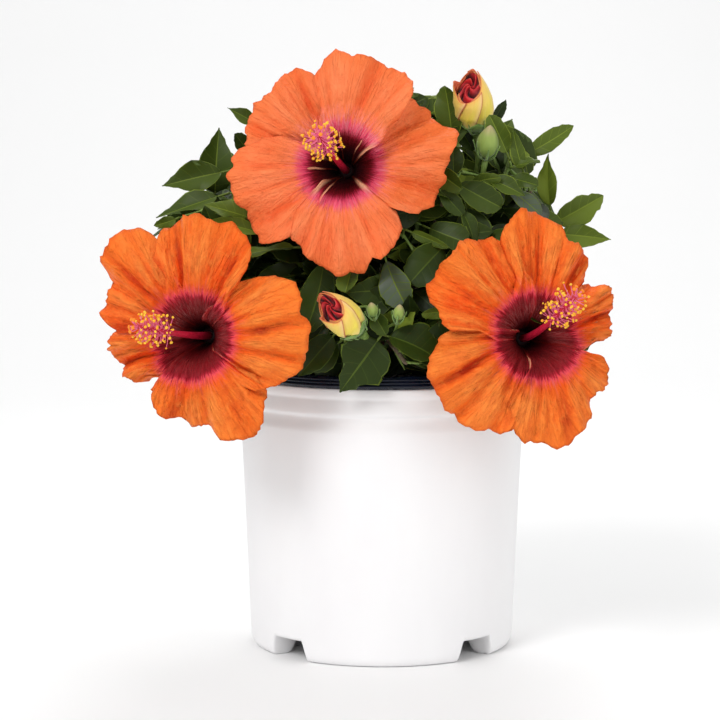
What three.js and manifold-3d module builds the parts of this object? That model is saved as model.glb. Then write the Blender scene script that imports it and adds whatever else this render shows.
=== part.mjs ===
// A tropical hibiscus in its nursery pot: a short woody stem that forks into boughs, ten masses of
// twigs and leaves, three large open blooms, two buds that are just opening and one green bud.
// Millimetres, +Z up. Front is -Y. The ground is Z = 0, and the origin is under the middle of the
// whole plant's box.

import * as THREE from "three";
import { mergeVertices } from "three/addons/utils/BufferGeometryUtils.js";
import Module from "manifold-3d";

const wasm = await Module();
wasm.setup();

// Driving sizes of the pot, a one-gallon nursery container
const POT_HEIGHT = 165;
const RIM_RADIUS = 83.5;
const BODY_RADIUS = 82.5;
const FOOT_RADIUS = 77;
const WALL = 1.5;
const GAP = 0.3;
const POT_SIDES = 30;
const SHOULDER_Z = 133;
const GROOVE_Z = 141.4;
const COLLAR_STEP_Z = 151.5;
const WALL_TOP_Z = 157.7;
const COLLAR_RADIUS = 81.4;
const FLOOR_Z = 11;
const NOTCH_WIDTH = 25;
const NOTCH_HEIGHT = 11.5;
const NOTCH_ANGLES = [45, 135, 225, 315];
const DRAIN_HOLE = [9, 13, 8];
const SOIL_Z = 150;

// Driving sizes of the plant
const STEM_RADII = [5.4, 4.2];
const STEM_FLARE = 2.8;
const BOUGH_RADII = [3, 2.4];
const MASS_STEM_RADII = [2.4, 1.9];
const TWIG_RADII = [1.6, 1.3];
const STEM_TOP = new THREE.Vector3(3, 4, 206);
const CROWN_CENTRE = new THREE.Vector3(0, 4, 212);
const CROWN_REACH = new THREE.Vector3(137, 119, 114);
const CROWN_SQUARENESS = 2.7;
const TWIGS_PER_MASS = 7;
const TWIG_LENGTH = 36;
const TWIG_SPREAD = [78, 30];
const LEAVES_PER_TWIG = 5;
const LEAF_LENGTH = 52;
const LEAF_WIDTH = 0.62;
const LEAF_THICKNESS = 1.3;
const LEAF_SPACING = 4.5;
const GOLDEN_ANGLE = 137.508;
const COROLLA_DEPTH = 26;
const PETAL_THICKNESS = 1.3;
const PETAL_ROWS = [0, 0.2, 0.44, 0.74, 1];
const PETAL_COLUMNS = 6;
const LAYER_STEP = 1.7;

// Masses of foliage: azimuth round the stem (270 is the front), reach and height of each one's far
// end, and where its bough leaves the main stem, from 0 near the soil to 1 at the fork
const MASSES = [
  { name: "left_low", azimuth: 194, reach: 92, height: 206, leaves: 0 },
  { name: "right_low", azimuth: 346, reach: 92, height: 204, leaves: 0.12 },
  { name: "back_left", azimuth: 134, reach: 90, height: 216, leaves: 0.24 },
  { name: "back_right", azimuth: 46, reach: 90, height: 216, leaves: 0.35 },
  { name: "front_low", azimuth: 268, reach: 70, height: 190, leaves: 0.46 },
  { name: "left_high", azimuth: 184, reach: 84, height: 260, leaves: 0.57 },
  { name: "right_high", azimuth: 2, reach: 80, height: 262, leaves: 0.68 },
  { name: "back_high", azimuth: 88, reach: 64, height: 266, leaves: 0.78 },
  { name: "front_high", azimuth: 300, reach: 54, height: 240, leaves: 0.88 },
  { name: "top", azimuth: 100, reach: 10, height: 292, leaves: 0.99 },
];

// Open blooms: where the throat shows, the way the bloom faces, and how far the column's tip
// stands right of, above and in front of the throat. Each petal has its angle (0 is right, 90 up),
// half width in degrees, length, and its layer where petals overlap.
const SIDE_BLOOM_PETALS = [
  [88, 37, 64, 0],
  [148, 35, 69, -1],
  [203, 31, 58, -2],
  [274, 42, 63, 2],
  [5, 44, 60, 1],
];
const MIRROR_TURN = 220;
const BLOOMS = [
  {
    name: "top",
    throat: [-23, -78, 281],
    facing: [-0.1, -1, 0.12],
    columnTip: [-9, 13, 38],
    petals: [
      [72, 38, 63, 2],
      [138, 35, 61, -1],
      [201, 39, 63, 1],
      [279, 43, 61, 2],
      [0, 41, 64, -1],
    ],
    bough: "front_high",
  },
  {
    name: "left",
    throat: [-97, -98, 190],
    facing: [-0.26, -1, 0.05],
    columnTip: [-35, 6, 30],
    petals: SIDE_BLOOM_PETALS,
    bough: "left_low",
  },
  {
    name: "right",
    throat: [77, -98, 186],
    facing: [0.2, -1, 0.12],
    columnTip: [24, 27, 30],
    petals: SIDE_BLOOM_PETALS.map(([angle, ...rest]) => [MIRROR_TURN - angle, ...rest]),
    bough: "right_low",
  },
];

// Buds: the foot of the bud, the way it points, its length and width, and whether it is opening
const BUDS = [
  {
    name: "high",
    foot: [55, -32, 300],
    pointing: [-0.14, -0.5, 0.86],
    length: 36,
    width: 24,
    opening: true,
    bough: "right_high",
  },
  {
    name: "low",
    foot: [-11, -94, 187],
    pointing: [-0.56, -0.62, 0.55],
    length: 35,
    width: 24,
    opening: true,
    bough: "front_low",
  },
  {
    name: "green",
    foot: [61, -47, 282],
    pointing: [0.1, -0.45, 0.89],
    length: 19,
    width: 12.5,
    opening: false,
    bough: "front_high",
  },
];

const vector = (list) => new THREE.Vector3(...list);
const radians = THREE.MathUtils.degToRad;
const mix = THREE.MathUtils.lerp;

// A small seeded generator, so that the plant grows the same way each time
function seeded(seed) {
  let state = seed;
  return () => {
    state = (state * 1664525 + 1013904223) % 4294967296;
    return state / 4294967296;
  };
}

// A closed geometry as a solid, turned the right way out
function solidOf(geometry) {
  const bare = geometry.clone();
  bare.deleteAttribute("normal");
  bare.deleteAttribute("uv");
  const merged = mergeVertices(bare, 1e-4);
  const corners = Array.from(merged.index.array);
  const faces = [];
  for (let i = 0; i < corners.length; i += 3) {
    const [a, b, c] = corners.slice(i, i + 3);
    if (a !== b && b !== c && c !== a) faces.push(a, b, c);
  }
  const build = (triVerts) =>
    new wasm.Manifold(
      new wasm.Mesh({
        numProp: 3,
        vertProperties: merged.attributes.position.array,
        triVerts: new Uint32Array(triVerts),
      }),
    );
  const solid = build(faces);
  if (solid.volume() > 0) return solid;
  return build(faces.reverse());
}

function geometryOf(solid) {
  const mesh = solid.getMesh();
  const places = new Float32Array(mesh.numVert * 3);
  for (let i = 0; i < mesh.numVert; i++) {
    places.set(mesh.vertProperties.subarray(i * mesh.numProp, i * mesh.numProp + 3), i * 3);
  }
  const geometry = new THREE.BufferGeometry();
  geometry.setAttribute("position", new THREE.BufferAttribute(places, 3));
  geometry.setIndex(new THREE.BufferAttribute(mesh.triVerts, 1));
  geometry.computeVertexNormals();
  return geometry;
}

// The largest body of a solid, so that loose scraps are dropped
const largest = (solid) => solid.decompose().sort((a, b) => b.volume() - a.volume())[0];
const joined = (solids) => largest(wasm.Manifold.union(solids));

const COLOURS = {
  pot: [0xf4f2f1, 0.42],
  rim: [0x10131c, 0.35],
  soil: [0x2a1d14, 0.95],
  bark: [0x6b5a42, 0.85],
  greenwood: [0x5f7a33, 0.6],
  leaf: [0x3f6424, 0.42],
  petal: [0xf47a2a, 0.55],
  column: [0xd8344a, 0.5],
  bud: [0xf0cf55, 0.55],
  heart: [0xc3202a, 0.5],
};
const materials = Object.fromEntries(
  Object.entries(COLOURS).map(([name, [color, roughness]]) => [
    name,
    new THREE.MeshStandardMaterial({ color, roughness, metalness: 0 }),
  ]),
);

const plant = new THREE.Group();
function addNode(name, solid, material) {
  const mesh = new THREE.Mesh(geometryOf(solid), materials[material]);
  mesh.name = name;
  plant.add(mesh);
}

// A solid turned round Z from a profile of [radius, height]
function turned(profile, sides = POT_SIDES) {
  const points = profile.map(([radius, height]) => new THREE.Vector2(radius, height));
  return solidOf(new THREE.LatheGeometry(points, sides).rotateX(Math.PI / 2));
}

// A closed skin over rings of points, each ring with the same count
function skinned(rings) {
  const count = rings[0].length;
  const places = rings.flat().flatMap((p) => [p.x, p.y, p.z]);
  const faces = [];
  for (let ring = 0; ring < rings.length - 1; ring++) {
    for (let i = 0; i < count; i++) {
      const a = ring * count + i;
      const b = ring * count + ((i + 1) % count);
      faces.push(a, b, b + count, a, b + count, a + count);
    }
  }
  const last = (rings.length - 1) * count;
  for (let i = 1; i < count - 1; i++) {
    faces.push(0, i + 1, i, last, last + i, last + i + 1);
  }
  const geometry = new THREE.BufferGeometry();
  geometry.setAttribute("position", new THREE.Float32BufferAttribute(places, 3));
  geometry.setIndex(faces);
  return solidOf(geometry);
}

// A tapering limb along a bent line from start to end, by way of a control point
class Limb {
  constructor(start, control, end, radii, sides, steps, flare = 0) {
    this.curve = new THREE.QuadraticBezierCurve3(start, control, end);
    Object.assign(this, { radii, sides, steps, flare });
    this.samples = Array.from({ length: 13 }, (_, i) => this.at(i / 12));
  }
  at(t) {
    return this.curve.getPoint(t);
  }
  radius(t) {
    return mix(...this.radii, t) + this.flare * Math.exp(-16 * t);
  }
  solid(grow = 0) {
    const rings = [];
    for (let step = 0; step <= this.steps; step++) {
      // Rings crowd towards a flared foot
      const t = this.flare ? (step / this.steps) ** 1.6 : step / this.steps;
      const along = this.flare && step === 0 ? new THREE.Vector3(0, 0, 1) : this.curve.getTangent(t);
      const side = new THREE.Vector3(0.31, 0.17, 0.12).cross(along).normalize();
      const other = along.clone().cross(side);
      const past = step === 0 ? -grow : step === this.steps ? grow : 0;
      const centre = this.at(t).addScaledVector(along, past);
      rings.push(
        Array.from({ length: this.sides }, (_, i) => {
          const turn = (2 * Math.PI * i) / this.sides;
          return centre
            .clone()
            .addScaledVector(side, (this.radius(t) + grow) * Math.cos(turn))
            .addScaledVector(other, (this.radius(t) + grow) * Math.sin(turn));
        }),
      );
    }
    return skinned(rings);
  }
  // Whether a point lies within clearance of the limb's surface
  near(point, clearance) {
    return this.samples.some(
      (sample, i) => sample.distanceTo(point) < this.radius(i / 12) + clearance,
    );
  }
}

// The pot: an outer form and an inner form, both drawn in by the drain channels under the foot
function potWall() {
  const outer = [
    [0, FLOOR_Z],
    [58, FLOOR_Z],
    [62.5, 2.2],
    [65, 0],
    [72.5, 0],
    [75.6, 1.5],
    [FOOT_RADIUS, 6],
    [BODY_RADIUS, SHOULDER_Z],
    [COLLAR_RADIUS - 1.4, GROOVE_Z],
    [COLLAR_RADIUS, GROOVE_Z + 2.4],
    [COLLAR_RADIUS - 1.3, COLLAR_STEP_Z],
    [COLLAR_RADIUS - 0.3, COLLAR_STEP_Z + 1.8],
    [COLLAR_RADIUS - 0.3, WALL_TOP_Z],
    [0, WALL_TOP_Z],
  ];
  const inner = [
    [0, FLOOR_Z + WALL],
    [59.2, FLOOR_Z + WALL],
    [64, 3],
    [66, WALL],
    [71.6, WALL],
    [74, 2.7],
    [FOOT_RADIUS - WALL, 6.4],
    [BODY_RADIUS - WALL, SHOULDER_Z],
    [COLLAR_RADIUS - 1.4 - WALL, GROOVE_Z],
    [COLLAR_RADIUS - 1.4 - WALL, POT_HEIGHT],
    [0, POT_HEIGHT],
  ];
  const channel = (grow) => {
    const length = 40;
    const box = new THREE.BoxGeometry(length, NOTCH_WIDTH + 2 * grow, NOTCH_HEIGHT + grow + 2);
    box.translate(FOOT_RADIUS - 18 + length / 2 - grow, 0, (NOTCH_HEIGHT + grow - 2) / 2);
    return NOTCH_ANGLES.map((angle) => solidOf(box.clone().rotateZ(radians(angle))));
  };
  const drain = NOTCH_ANGLES.map((angle) => {
    const hole = new THREE.BoxGeometry(...DRAIN_HOLE).translate(FOOT_RADIUS - 9, 0, NOTCH_HEIGHT);
    return solidOf(hole.rotateZ(radians(angle)));
  });
  const cavity = wasm.Manifold.difference([turned(inner), ...channel(WALL)]);
  return wasm.Manifold.difference([turned(outer), ...channel(0), cavity, ...drain]);
}

// The rolled lip, with two fine grooves round its face and a thin skirt inside the wall
const SKIRT_OUTER = COLLAR_RADIUS - 1.4 - WALL - GAP;
function potRim() {
  const skirtInner = SKIRT_OUTER - 0.9;
  const lipFoot = WALL_TOP_Z + GAP;
  return turned([
    [SKIRT_OUTER, 144],
    [SKIRT_OUTER, lipFoot],
    [RIM_RADIUS - 0.6, lipFoot],
    [RIM_RADIUS, lipFoot + 1.2],
    [RIM_RADIUS - 0.7, lipFoot + 2.3],
    [RIM_RADIUS, lipFoot + 3.4],
    [RIM_RADIUS - 0.7, lipFoot + 4.7],
    [RIM_RADIUS - 1.4, POT_HEIGHT],
    [skirtInner + 1, POT_HEIGHT],
    [skirtInner, 144],
    [SKIRT_OUTER, 144],
  ]);
}

// The potting mix lies on the floor and fills the pot up to the soil line, clear of wall and skirt.
// The hollow foot below it stays open as drainage space.
function pottingSoil() {
  const floor = NOTCH_HEIGHT + WALL + GAP + 0.2;
  return turned([
    [0, floor],
    [FOOT_RADIUS - WALL - GAP, floor],
    [BODY_RADIUS - WALL - GAP, SHOULDER_Z],
    [SKIRT_OUTER - 0.9 - 2 * GAP, 143],
    [SKIRT_OUTER - 0.9 - GAP, SOIL_Z],
    [0, SOIL_Z],
  ]);
}

addNode("pot_wall", potWall(), "pot");
addNode("pot_rim", potRim(), "rim");
addNode("potting_soil", pottingSoil(), "soil");

// The main stem stands on the soil and ends at the fork
const stemFoot = new THREE.Vector3(0, 0, SOIL_Z + GAP);
const stemBend = new THREE.Vector3(-2, 0, 178);
const mainStem = new Limb(stemFoot, stemBend, STEM_TOP, STEM_RADII, 10, 6, STEM_FLARE);
addNode("main_stem", mainStem.solid(), "bark");

// Each bough leaves the main stem and ends where it enters its mass, whose own stem runs on
const BOUGH_SHARE = 0.42;
const BOUGH_ARCH = 9;
MASSES.forEach((mass, order) => {
  const end = new THREE.Vector3(
    mass.reach * Math.cos(radians(mass.azimuth)),
    mass.reach * Math.sin(radians(mass.azimuth)),
    mass.height,
  );
  const start = mainStem.at(0.25 + 0.72 * mass.leaves);
  const across = end.clone().sub(start);
  const control = start
    .clone()
    .add(new THREE.Vector3(across.x * 0.5, across.y * 0.5, across.z * 0.5 + BOUGH_ARCH));
  const whole = new THREE.QuadraticBezierCurve3(start, control, end);
  const tip = whole.getPoint(BOUGH_SHARE);
  const tangent = whole.getTangent(BOUGH_SHARE);
  const boughControl = start.clone().lerp(control, BOUGH_SHARE);
  mass.bough = new Limb(start, boughControl, tip, BOUGH_RADII, 5, 3);
  const stemStart = tip.clone().addScaledVector(tangent, GAP);
  const stemControl = control.clone().lerp(end, BOUGH_SHARE).addScaledVector(tangent, GAP);
  mass.stem = new Limb(stemStart, stemControl, end, MASS_STEM_RADII, 4, 2);
  mass.heart = stemStart.clone().lerp(end, 0.5);
  mass.seed = 4021 + 977 * order;
});
const massNamed = (name) => MASSES.find((mass) => mass.name === name);

// A frame on a bloom or bud: its foot, the way it faces, its right and its up
function facingFrame(foot, facing) {
  const axis = vector(facing).normalize();
  const right = new THREE.Vector3(0, 0, 1).cross(axis).normalize();
  return { foot, axis, right, up: axis.clone().cross(right) };
}
const within = (frame, x, y, h) =>
  frame.foot
    .clone()
    .addScaledVector(frame.right, x)
    .addScaledVector(frame.up, y)
    .addScaledVector(frame.axis, h);
function placed(solid, frame) {
  const matrix = new THREE.Matrix4().makeBasis(frame.right, frame.up, frame.axis);
  return solid.transform(matrix.setPosition(frame.foot).elements);
}

// A flower stalk leaves a bough and swings round into line with the bloom or bud that it carries
function stalkTo(frame, boughName, share, radius) {
  const start = massNamed(boughName).bough.at(share);
  const end = within(frame, 0, 0, -3.2);
  const control = within(frame, 0, 0, -0.55 * start.distanceTo(end));
  return new Limb(start, control, end, [0.85 * radius, radius], 4, 4);
}
for (const bloom of BLOOMS) {
  const frame = facingFrame(vector(bloom.throat), bloom.facing);
  frame.foot = within(frame, 0, 0, -COROLLA_DEPTH);
  bloom.frame = frame;
  bloom.stalk = stalkTo(frame, bloom.bough, 0.74, 1.8);
}
for (const bud of BUDS) {
  bud.frame = facingFrame(vector(bud.foot), bud.pointing);
  bud.stalk = stalkTo(bud.frame, bud.bough, bud.opening ? 0.66 : 0.48, bud.opening ? 1.6 : 1.2);
}

const boughs = MASSES.map((mass) => mass.bough);
const stalks = [...BLOOMS, ...BUDS].map((flower) => flower.stalk);
for (const mass of MASSES) {
  const solid = mass.bough.solid().subtract(mainStem.solid(GAP));
  addNode(`bough_${mass.name}`, largest(solid), "bark");
}

// A petal's mid line from the corolla's foot: radius and height, for a petal 62 mm long
const PETAL_LINE = new THREE.CubicBezierCurve(
  new THREE.Vector2(4.6, 0),
  new THREE.Vector2(6.5, 27),
  new THREE.Vector2(22, 36),
  new THREE.Vector2(62, 31),
);
const PETAL_LINE_REACH = 62;

function petalPoint(frame, [angle, halfWidth, length, layer], phase, along, across) {
  const line = PETAL_LINE.getPoint(along);
  const open = THREE.MathUtils.smoothstep(along, 0.15, 0.6);
  const rounding = 1 - 0.12 * across ** 2 - 0.19 * across ** 6;
  const radius = line.x * mix(1, (length / PETAL_LINE_REACH) * rounding, open);
  const turn = radians(angle + mix(38, halfWidth, open) * across);
  const wave = 3.6 * along ** 2.4 * Math.sin(5.6 * across + phase);
  const height = line.y + layer * LAYER_STEP * open + wave;
  return within(frame, radius * Math.cos(turn), radius * Math.sin(turn), height);
}

// A petal is a thin closed sheet over a grid of rows out from the throat and columns across
function petalSolid(frame, petal, phase) {
  const at = (row, column) =>
    petalPoint(frame, petal, phase, row, (2 * column) / PETAL_COLUMNS - 1);
  const top = [];
  const bottom = [];
  for (const row of PETAL_ROWS) {
    for (let column = 0; column <= PETAL_COLUMNS; column++) {
      const here = at(row, column);
      const out = at(Math.min(1, row + 0.02), column).sub(at(Math.max(0, row - 0.02), column));
      const round = at(row, column + 0.1).sub(at(row, column - 0.1));
      const normal = out.cross(round).normalize();
      top.push(here.clone().addScaledVector(normal, PETAL_THICKNESS / 2));
      bottom.push(here.clone().addScaledVector(normal, -PETAL_THICKNESS / 2));
    }
  }
  const wide = PETAL_COLUMNS + 1;
  const below = top.length;
  const faces = [];
  const quad = (a, b, c, d) => faces.push(a, b, c, a, c, d);
  for (let row = 0; row < PETAL_ROWS.length - 1; row++) {
    for (let column = 0; column < PETAL_COLUMNS; column++) {
      const a = row * wide + column;
      quad(a, a + wide, a + wide + 1, a + 1);
      quad(below + a, below + a + 1, below + a + wide + 1, below + a + wide);
    }
    const left = row * wide;
    const right = left + PETAL_COLUMNS;
    quad(left, below + left, below + left + wide, left + wide);
    quad(right, right + wide, below + right + wide, below + right);
  }
  const lastRow = (PETAL_ROWS.length - 1) * wide;
  for (let column = 0; column < PETAL_COLUMNS; column++) {
    quad(column, column + 1, below + column + 1, below + column);
    const a = lastRow + column;
    quad(a, below + a, below + a + 1, a + 1);
  }
  const geometry = new THREE.BufferGeometry();
  const places = [...top, ...bottom].flatMap((p) => [p.x, p.y, p.z]);
  geometry.setAttribute("position", new THREE.Float32BufferAttribute(places, 3));
  geometry.setIndex(faces);
  return solidOf(geometry);
}

function corolla(bloom, order) {
  const petals = bloom.petals.map((petal, i) => petalSolid(bloom.frame, petal, 1.7 * i + order));
  const floor = turned(
    [
      [0, -0.4],
      [4.9, -0.4],
      [5.1, 1.6],
      [0, 1.6],
    ],
    6,
  );
  return joined([...petals, placed(floor, bloom.frame)]);
}

// A slim three-sided body between two points, widest near its far end: an anther on its filament
function spindle(start, end, halfWidth, widest) {
  const along = end.clone().sub(start).normalize();
  const side = new THREE.Vector3(0.3, 0.8, 0.52).cross(along).normalize();
  const middle = start.clone().lerp(end, widest);
  const corners = [0, 120, 240].map((angle) =>
    side.clone().applyAxisAngle(along, radians(angle)).multiplyScalar(halfWidth).add(middle),
  );
  const geometry = new THREE.BufferGeometry();
  const places = [start, end, ...corners].flatMap((p) => [p.x, p.y, p.z]);
  geometry.setAttribute("position", new THREE.Float32BufferAttribute(places, 3));
  geometry.setIndex([0, 3, 2, 0, 4, 3, 0, 2, 4, 1, 2, 3, 1, 3, 4, 1, 4, 2]);
  return solidOf(geometry);
}

// The staminal column: a tapering tube that leans out of the throat, its outer half set with
// anthers, and five stigma arms at its tip
const ANTHERS = 11;
const FILAMENT = 9.5;
function staminalColumn(bloom) {
  const [right, up, forward] = bloom.columnTip;
  const start = within(bloom.frame, 0, 0, 1.6 + GAP);
  const control = within(bloom.frame, 0, 0, COROLLA_DEPTH + 12);
  const tip = within(bloom.frame, right, up, COROLLA_DEPTH + forward);
  const tube = new Limb(start, control, tip, [2.3, 1.1], 5, 5);
  const parts = [tube.solid()];
  for (let i = 0; i < ANTHERS; i++) {
    const t = mix(0.56, 0.95, i / (ANTHERS - 1));
    const along = tube.curve.getTangent(t);
    const side = new THREE.Vector3(0, 1, 0).cross(along).normalize();
    side.applyAxisAngle(along, radians(GOLDEN_ANGLE * i));
    const from = tube.at(t).addScaledVector(side, 0.3);
    const to = tube.at(t).addScaledVector(side, FILAMENT).addScaledVector(along, 3.2);
    parts.push(spindle(from, to, 1, 0.82));
  }
  const along = tube.curve.getTangent(1);
  const ahead = tip.clone().addScaledVector(along, -1.2);
  for (let i = 0; i < 5; i++) {
    const side = new THREE.Vector3(0, 1, 0).cross(along).normalize();
    side.applyAxisAngle(along, radians(72 * i));
    const to = tip.clone().addScaledVector(side, 4.6).addScaledVector(along, 5.5);
    parts.push(spindle(ahead, to, 1.25, 0.8));
  }
  return joined(parts);
}

// A calyx cup with five pointed teeth, fused to its stalk. line gives the radius of what it holds.
const TEETH = 5;
function calyxSolid(frame, stalk, boughSolid, depth, line) {
  const clear = GAP + 0.15;
  const sides = 2 * TEETH;
  const ring = (radius, height, valley = height) =>
    Array.from({ length: sides }, (_, i) => {
      const turn = (2 * Math.PI * i) / sides;
      const h = i % 2 ? valley : height;
      const r = typeof radius === "function" ? radius(h) : radius;
      // The cup's flat facets keep clear of what it holds
      const out = r / Math.cos(Math.PI / sides);
      return within(frame, out * Math.cos(turn), out * Math.sin(turn), h);
    });
  const hold = (h) => line(h) + clear;
  const skin = (h) => hold(h) + 1.3;
  const cup = skinned([
    ring(2.1, -4.6),
    ring(line(0) + 0.9, -1.9),
    ring(skin, 0.5 * depth),
    ring((h) => hold(h) + 0.8, depth, 0.62 * depth),
    ring((h) => hold(h) + 0.1, depth, 0.62 * depth),
    ring(hold, 0.5 * depth),
    ring(line(0) - 0.4, -clear - 0.2),
  ]);
  const stem = stalk.solid().subtract(boughSolid);
  return joined([cup, stem]);
}

const corollaLine = (h) => 5.8 + 0.2 * h;
BLOOMS.forEach((bloom, order) => {
  const carrier = massNamed(bloom.bough).bough.solid(GAP);
  bloom.corolla = corolla(bloom, order);
  addNode(`bloom_${bloom.name}_petals`, bloom.corolla, "petal");
  addNode(`bloom_${bloom.name}_column`, staminalColumn(bloom), "column");
  const calyx = calyxSolid(bloom.frame, bloom.stalk, carrier, 9, corollaLine);
  addNode(`bloom_${bloom.name}_stalk`, calyx, "greenwood");
});

// A bud's body, with a cup at the tip when it is opening, and the furled heart inside the cup
const BUD_LINE = [
  [0.02, 0.42],
  [0.14, 0.8],
  [0.32, 1],
  [0.52, 0.97],
  [0.72, 0.8],
  [0.88, 0.6],
];
function budRadius(bud, h) {
  const share = h / bud.length;
  const after = BUD_LINE.findIndex(([s]) => s >= share);
  if (after <= 0) return (BUD_LINE[0][1] * bud.width) / 2;
  const [s0, r0] = BUD_LINE[after - 1];
  const [s1, r1] = BUD_LINE[after];
  return (mix(r0, r1, (share - s0) / (s1 - s0)) * bud.width) / 2;
}
function budBody(bud) {
  const half = bud.width / 2;
  const sides = BUD_LINE.map(([s, r]) => [r * half, s * bud.length]);
  const tip = bud.opening
    ? [
        [0.54 * half, 0.97 * bud.length],
        [0.42 * half, 0.95 * bud.length],
        [0.36 * half, 0.72 * bud.length],
        [0, 0.7 * bud.length],
      ]
    : [
        [0.3 * half, 0.96 * bud.length],
        [0, bud.length],
      ];
  return turned([[0, 0], ...sides, ...tip], 12);
}
function budHeart(bud) {
  const half = bud.width / 2;
  return turned(
    [
      [0, 0.7 * bud.length + GAP],
      [0.36 * half - 2 * GAP, 0.72 * bud.length + GAP],
      [0.42 * half - 2 * GAP, 0.94 * bud.length],
      [0.2 * half, bud.length],
      [0, 0.93 * bud.length],
    ],
    10,
  );
}
for (const bud of BUDS) {
  const carrier = massNamed(bud.bough).bough.solid(GAP);
  addNode(`bud_${bud.name}_petals`, placed(budBody(bud), bud.frame), bud.opening ? "bud" : "greenwood");
  if (bud.opening) addNode(`bud_${bud.name}_heart`, placed(budHeart(bud), bud.frame), "heart");
  const line = (h) => budRadius(bud, h) + 0.25;
  const calyx = calyxSolid(bud.frame, bud.stalk, carrier, bud.length * 0.26, line);
  addNode(`bud_${bud.name}_stalk`, calyx, "greenwood");
}

// Whether a point lies in a bloom's own room: from just behind the petals to the air in front
function inBloomRoom(point) {
  return BLOOMS.some(({ frame, petals }) => {
    const from = point.clone().sub(frame.foot);
    const height = from.dot(frame.axis);
    const radius = Math.sqrt(Math.max(0, from.lengthSq() - height * height));
    const reach = Math.max(...petals.map((petal) => petal[2])) + 5;
    if (radius > reach) return false;
    const back = 34 * (1 - Math.exp(-Math.max(0, radius - 4) / 9));
    return height > back - 4 - 9 * (radius / reach) ** 2;
  });
}
function inBudRoom(point) {
  return BUDS.some((bud) => {
    const middle = within(bud.frame, 0, 0, bud.length * 0.45);
    const from = point.clone().sub(middle);
    const height = from.dot(bud.frame.axis);
    const radius = Math.sqrt(Math.max(0, from.lengthSq() - height * height));
    const ahead = bud.opening ? 60 : 0.65 * bud.length;
    return radius < bud.width / 2 + 3 && height > -0.62 * bud.length && height < ahead;
  });
}

// The crown's room: inside its rounded envelope, above the soil and clear of the pot's rim
function crownLevel(point) {
  const scaled = point.clone().sub(CROWN_CENTRE).divide(CROWN_REACH);
  const power = CROWN_SQUARENESS;
  const sum = [scaled.x, scaled.y, scaled.z].reduce((a, v) => a + Math.abs(v) ** power, 0);
  return sum ** (1 / power);
}
function inCrown(point) {
  if (crownLevel(point) > 1) return false;
  const fromAxis = Math.hypot(point.x, point.y);
  if (fromAxis < SKIRT_OUTER - 4) return point.z > SOIL_Z + 2;
  if (fromAxis < RIM_RADIUS + 2.5) return point.z > POT_HEIGHT + 2;
  return point.z > POT_HEIGHT - 8;
}

// Each mass keeps to the points that are nearer its own heart than any other's
function inCell(point, mass, clearance) {
  return MASSES.every((other) => {
    if (other === mass) return true;
    const between = other.heart.distanceTo(mass.heart);
    const lead = point.distanceToSquared(other.heart) - point.distanceToSquared(mass.heart);
    return lead / (2 * between) > clearance;
  });
}
const otherLimbs = (mass) => [
  mainStem,
  ...boughs,
  ...stalks,
  ...MASSES.filter((other) => other !== mass).map((other) => other.stem),
];
function isFree(points, mass, clearance) {
  const limbs = otherLimbs(mass);
  return points.every(
    (point) =>
      inCrown(point) &&
      inCell(point, mass, 0.5 + clearance) &&
      !inBloomRoom(point) &&
      !inBudRoom(point) &&
      !limbs.some((limb) => limb.near(point, 2.6 + clearance)),
  );
}

// A leaf: a foot sunk in its twig, an ovate blade that folds a little along its midrib, and a
// drooping tip
const LEAF_OUTLINE = [
  [0.44, 1],
  [0.76, 0.66],
];
function leafPoints(root, along, face, length) {
  const side = along.clone().cross(face).normalize();
  const normal = side.clone().cross(along).normalize();
  const half = (length * LEAF_WIDTH) / 2;
  const at = (share, across, lift) =>
    root
      .clone()
      .addScaledVector(along, share * length)
      .addScaledVector(side, across * half)
      .addScaledVector(normal, lift - 0.16 * length * share * share);
  const edge = (sign) => LEAF_OUTLINE.map(([s, w]) => at(s, sign * w, 0.14 * w * half));
  const left = edge(-1);
  const right = edge(1);
  const tip = at(1, 0, 0);
  const rows = [0.18, 0.32, 0.46, 0.6, 0.74, 0.88];
  const inside = rows.flatMap((s) => {
    const width = Math.min(s / 0.44, 1, 1.9 * (1 - s));
    return [-0.62 * width, 0, 0.62 * width].map((across) => at(s, across, 0));
  });
  return {
    left,
    right,
    tip,
    foot: at(0, 0, 0),
    top: at(0.38, 0, 0.6 * LEAF_THICKNESS),
    bottom: at(0.38, 0, -0.4 * LEAF_THICKNESS),
    samples: [...left, ...right, tip, ...inside],
  };
}
function leafSolid(leaf) {
  const rim = [leaf.foot, ...leaf.left, leaf.tip, ...leaf.right.toReversed()];
  const top = rim.length;
  const faces = rim.flatMap((_, i) => {
    const next = (i + 1) % rim.length;
    return [top, next, i, top + 1, i, next];
  });
  const geometry = new THREE.BufferGeometry();
  const places = [...rim, leaf.top, leaf.bottom].flatMap((p) => [p.x, p.y, p.z]);
  geometry.setAttribute("position", new THREE.Float32BufferAttribute(places, 3));
  geometry.setIndex(faces);
  return solidOf(geometry);
}

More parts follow.
